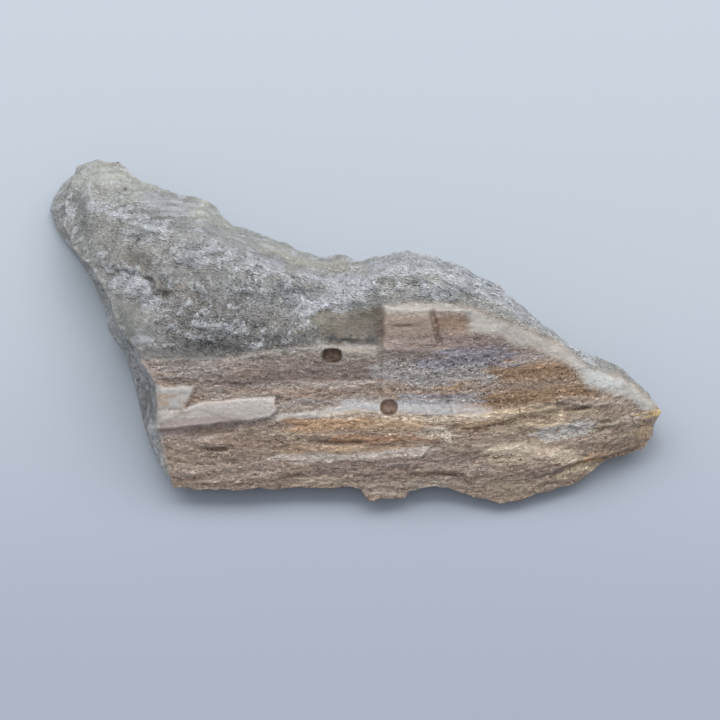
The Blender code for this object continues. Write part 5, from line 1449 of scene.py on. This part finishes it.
def make_surface():
    mesh = chunk_mesh()
    data = bpy.data.meshes.new("petrified_wood_surface")
    mesh.to_mesh(data)
    mesh.free()
    keep_in_box(data)
    data.shade_smooth()
    colour_surface(data)
    data.materials.append(surface_material())
    surface = placed("petrified_wood_surface", data)
    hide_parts("petrified_wood")
    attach(surface, "root")
    print("surface triangles", len(data.polygons), "vertices", len(data.vertices))


# The floor's colour darkens towards the front, from FLOOR_FAR behind the wood to the nearer colour before
# it, as painted shade standing for the window light's falloff.
FLOOR_FAR = (0.35, 0.388, 0.436, 1.0)
FLOOR_NEAR_PAINTED_SHADE = (0.289, 0.319, 0.387, 1.0)
FLOOR_FAR_Y = 0.012
FLOOR_NEAR_Y = -0.045
FLOOR_SIZE = 3.0
FLOOR_ROUGHNESS = 0.9
# A broad window behind and above the wood, and the faintly blue light of the room, in metres and watts.
WINDOW_PLACE = (0.0, 0.12, 0.22)
WINDOW_WIDTH = 0.6
WINDOW_HEIGHT = 0.2
WINDOW_POWER = 1.0
WINDOW_COLOUR = (1.0, 0.99, 0.97)
ROOM_COLOUR = (0.93, 0.96, 1.0, 1.0)
ROOM_STRENGTH = 0.85
# The camera looks down at CAMERA_LIFT from CAMERA_AWAY metres off. Its lens and film are in mm.
CAMERA_LIFT = math.radians(60.0)
CAMERA_AWAY = 0.295
CAMERA_NEAREST = 0.01
CAMERA_LENS = 120.0
CAMERA_FILM = 36.0


def make_floor():
    mesh = bmesh.new()
    bmesh.ops.create_grid(mesh, x_segments=1, y_segments=1, size=FLOOR_SIZE / 2)
    data = bpy.data.meshes.new("floor")
    mesh.to_mesh(data)
    mesh.free()
    material = bpy.data.materials.new("floor_paper_painted_falloff")
    n = Nodes(material)
    place = n.add("ShaderNodeSeparateXYZ", {0: n.add("ShaderNodeTexCoord").outputs["Object"]})
    # Painted shade: the floor darkens towards the front in place of the window light's falloff.
    near = n.ramp(place.outputs["Y"], FLOOR_FAR_Y, FLOOR_NEAR_Y)
    n.join(n.mix(near, FLOOR_FAR, FLOOR_NEAR_PAINTED_SHADE), n.shader.inputs["Base Color"])
    n.shader.inputs["Roughness"].default_value = FLOOR_ROUGHNESS
    data.materials.append(material)
    floor = placed("floor", data)


def make_light():
    world = bpy.data.worlds.new("studio")
    bpy.context.scene.world = world
    world.use_nodes = True
    backdrop = world.node_tree.nodes["Background"]
    backdrop.inputs["Color"].default_value = ROOM_COLOUR
    backdrop.inputs["Strength"].default_value = ROOM_STRENGTH
    light = bpy.data.lights.new("window", "AREA")
    light.shape = "RECTANGLE"
    light.size, light.size_y = WINDOW_WIDTH, WINDOW_HEIGHT
    light.energy = WINDOW_POWER
    light.color = WINDOW_COLOUR
    window = placed("window", light)
    window.location = WINDOW_PLACE
    window.rotation_euler = (-window.location).to_track_quat("-Z", "Y").to_euler()


def make_camera():
    data = bpy.data.cameras.new("camera")
    data.lens = CAMERA_LENS
    data.sensor_width = CAMERA_FILM
    data.clip_start = CAMERA_NEAREST
    camera = placed("camera", data)
    target = Vector((FACE_ORIGIN_X, FACE_ORIGIN_Y, 0.0)) * MM
    back = Vector((0.0, -math.cos(CAMERA_LIFT), math.sin(CAMERA_LIFT)))
    camera.location = target + back * CAMERA_AWAY
    camera.rotation_euler = (math.pi / 2 - CAMERA_LIFT, 0.0, 0.0)
    bpy.context.scene.camera = camera


make_camera()
make_surface()
make_floor()
make_light()
bpy.context.scene.view_settings.view_transform = "Standard"
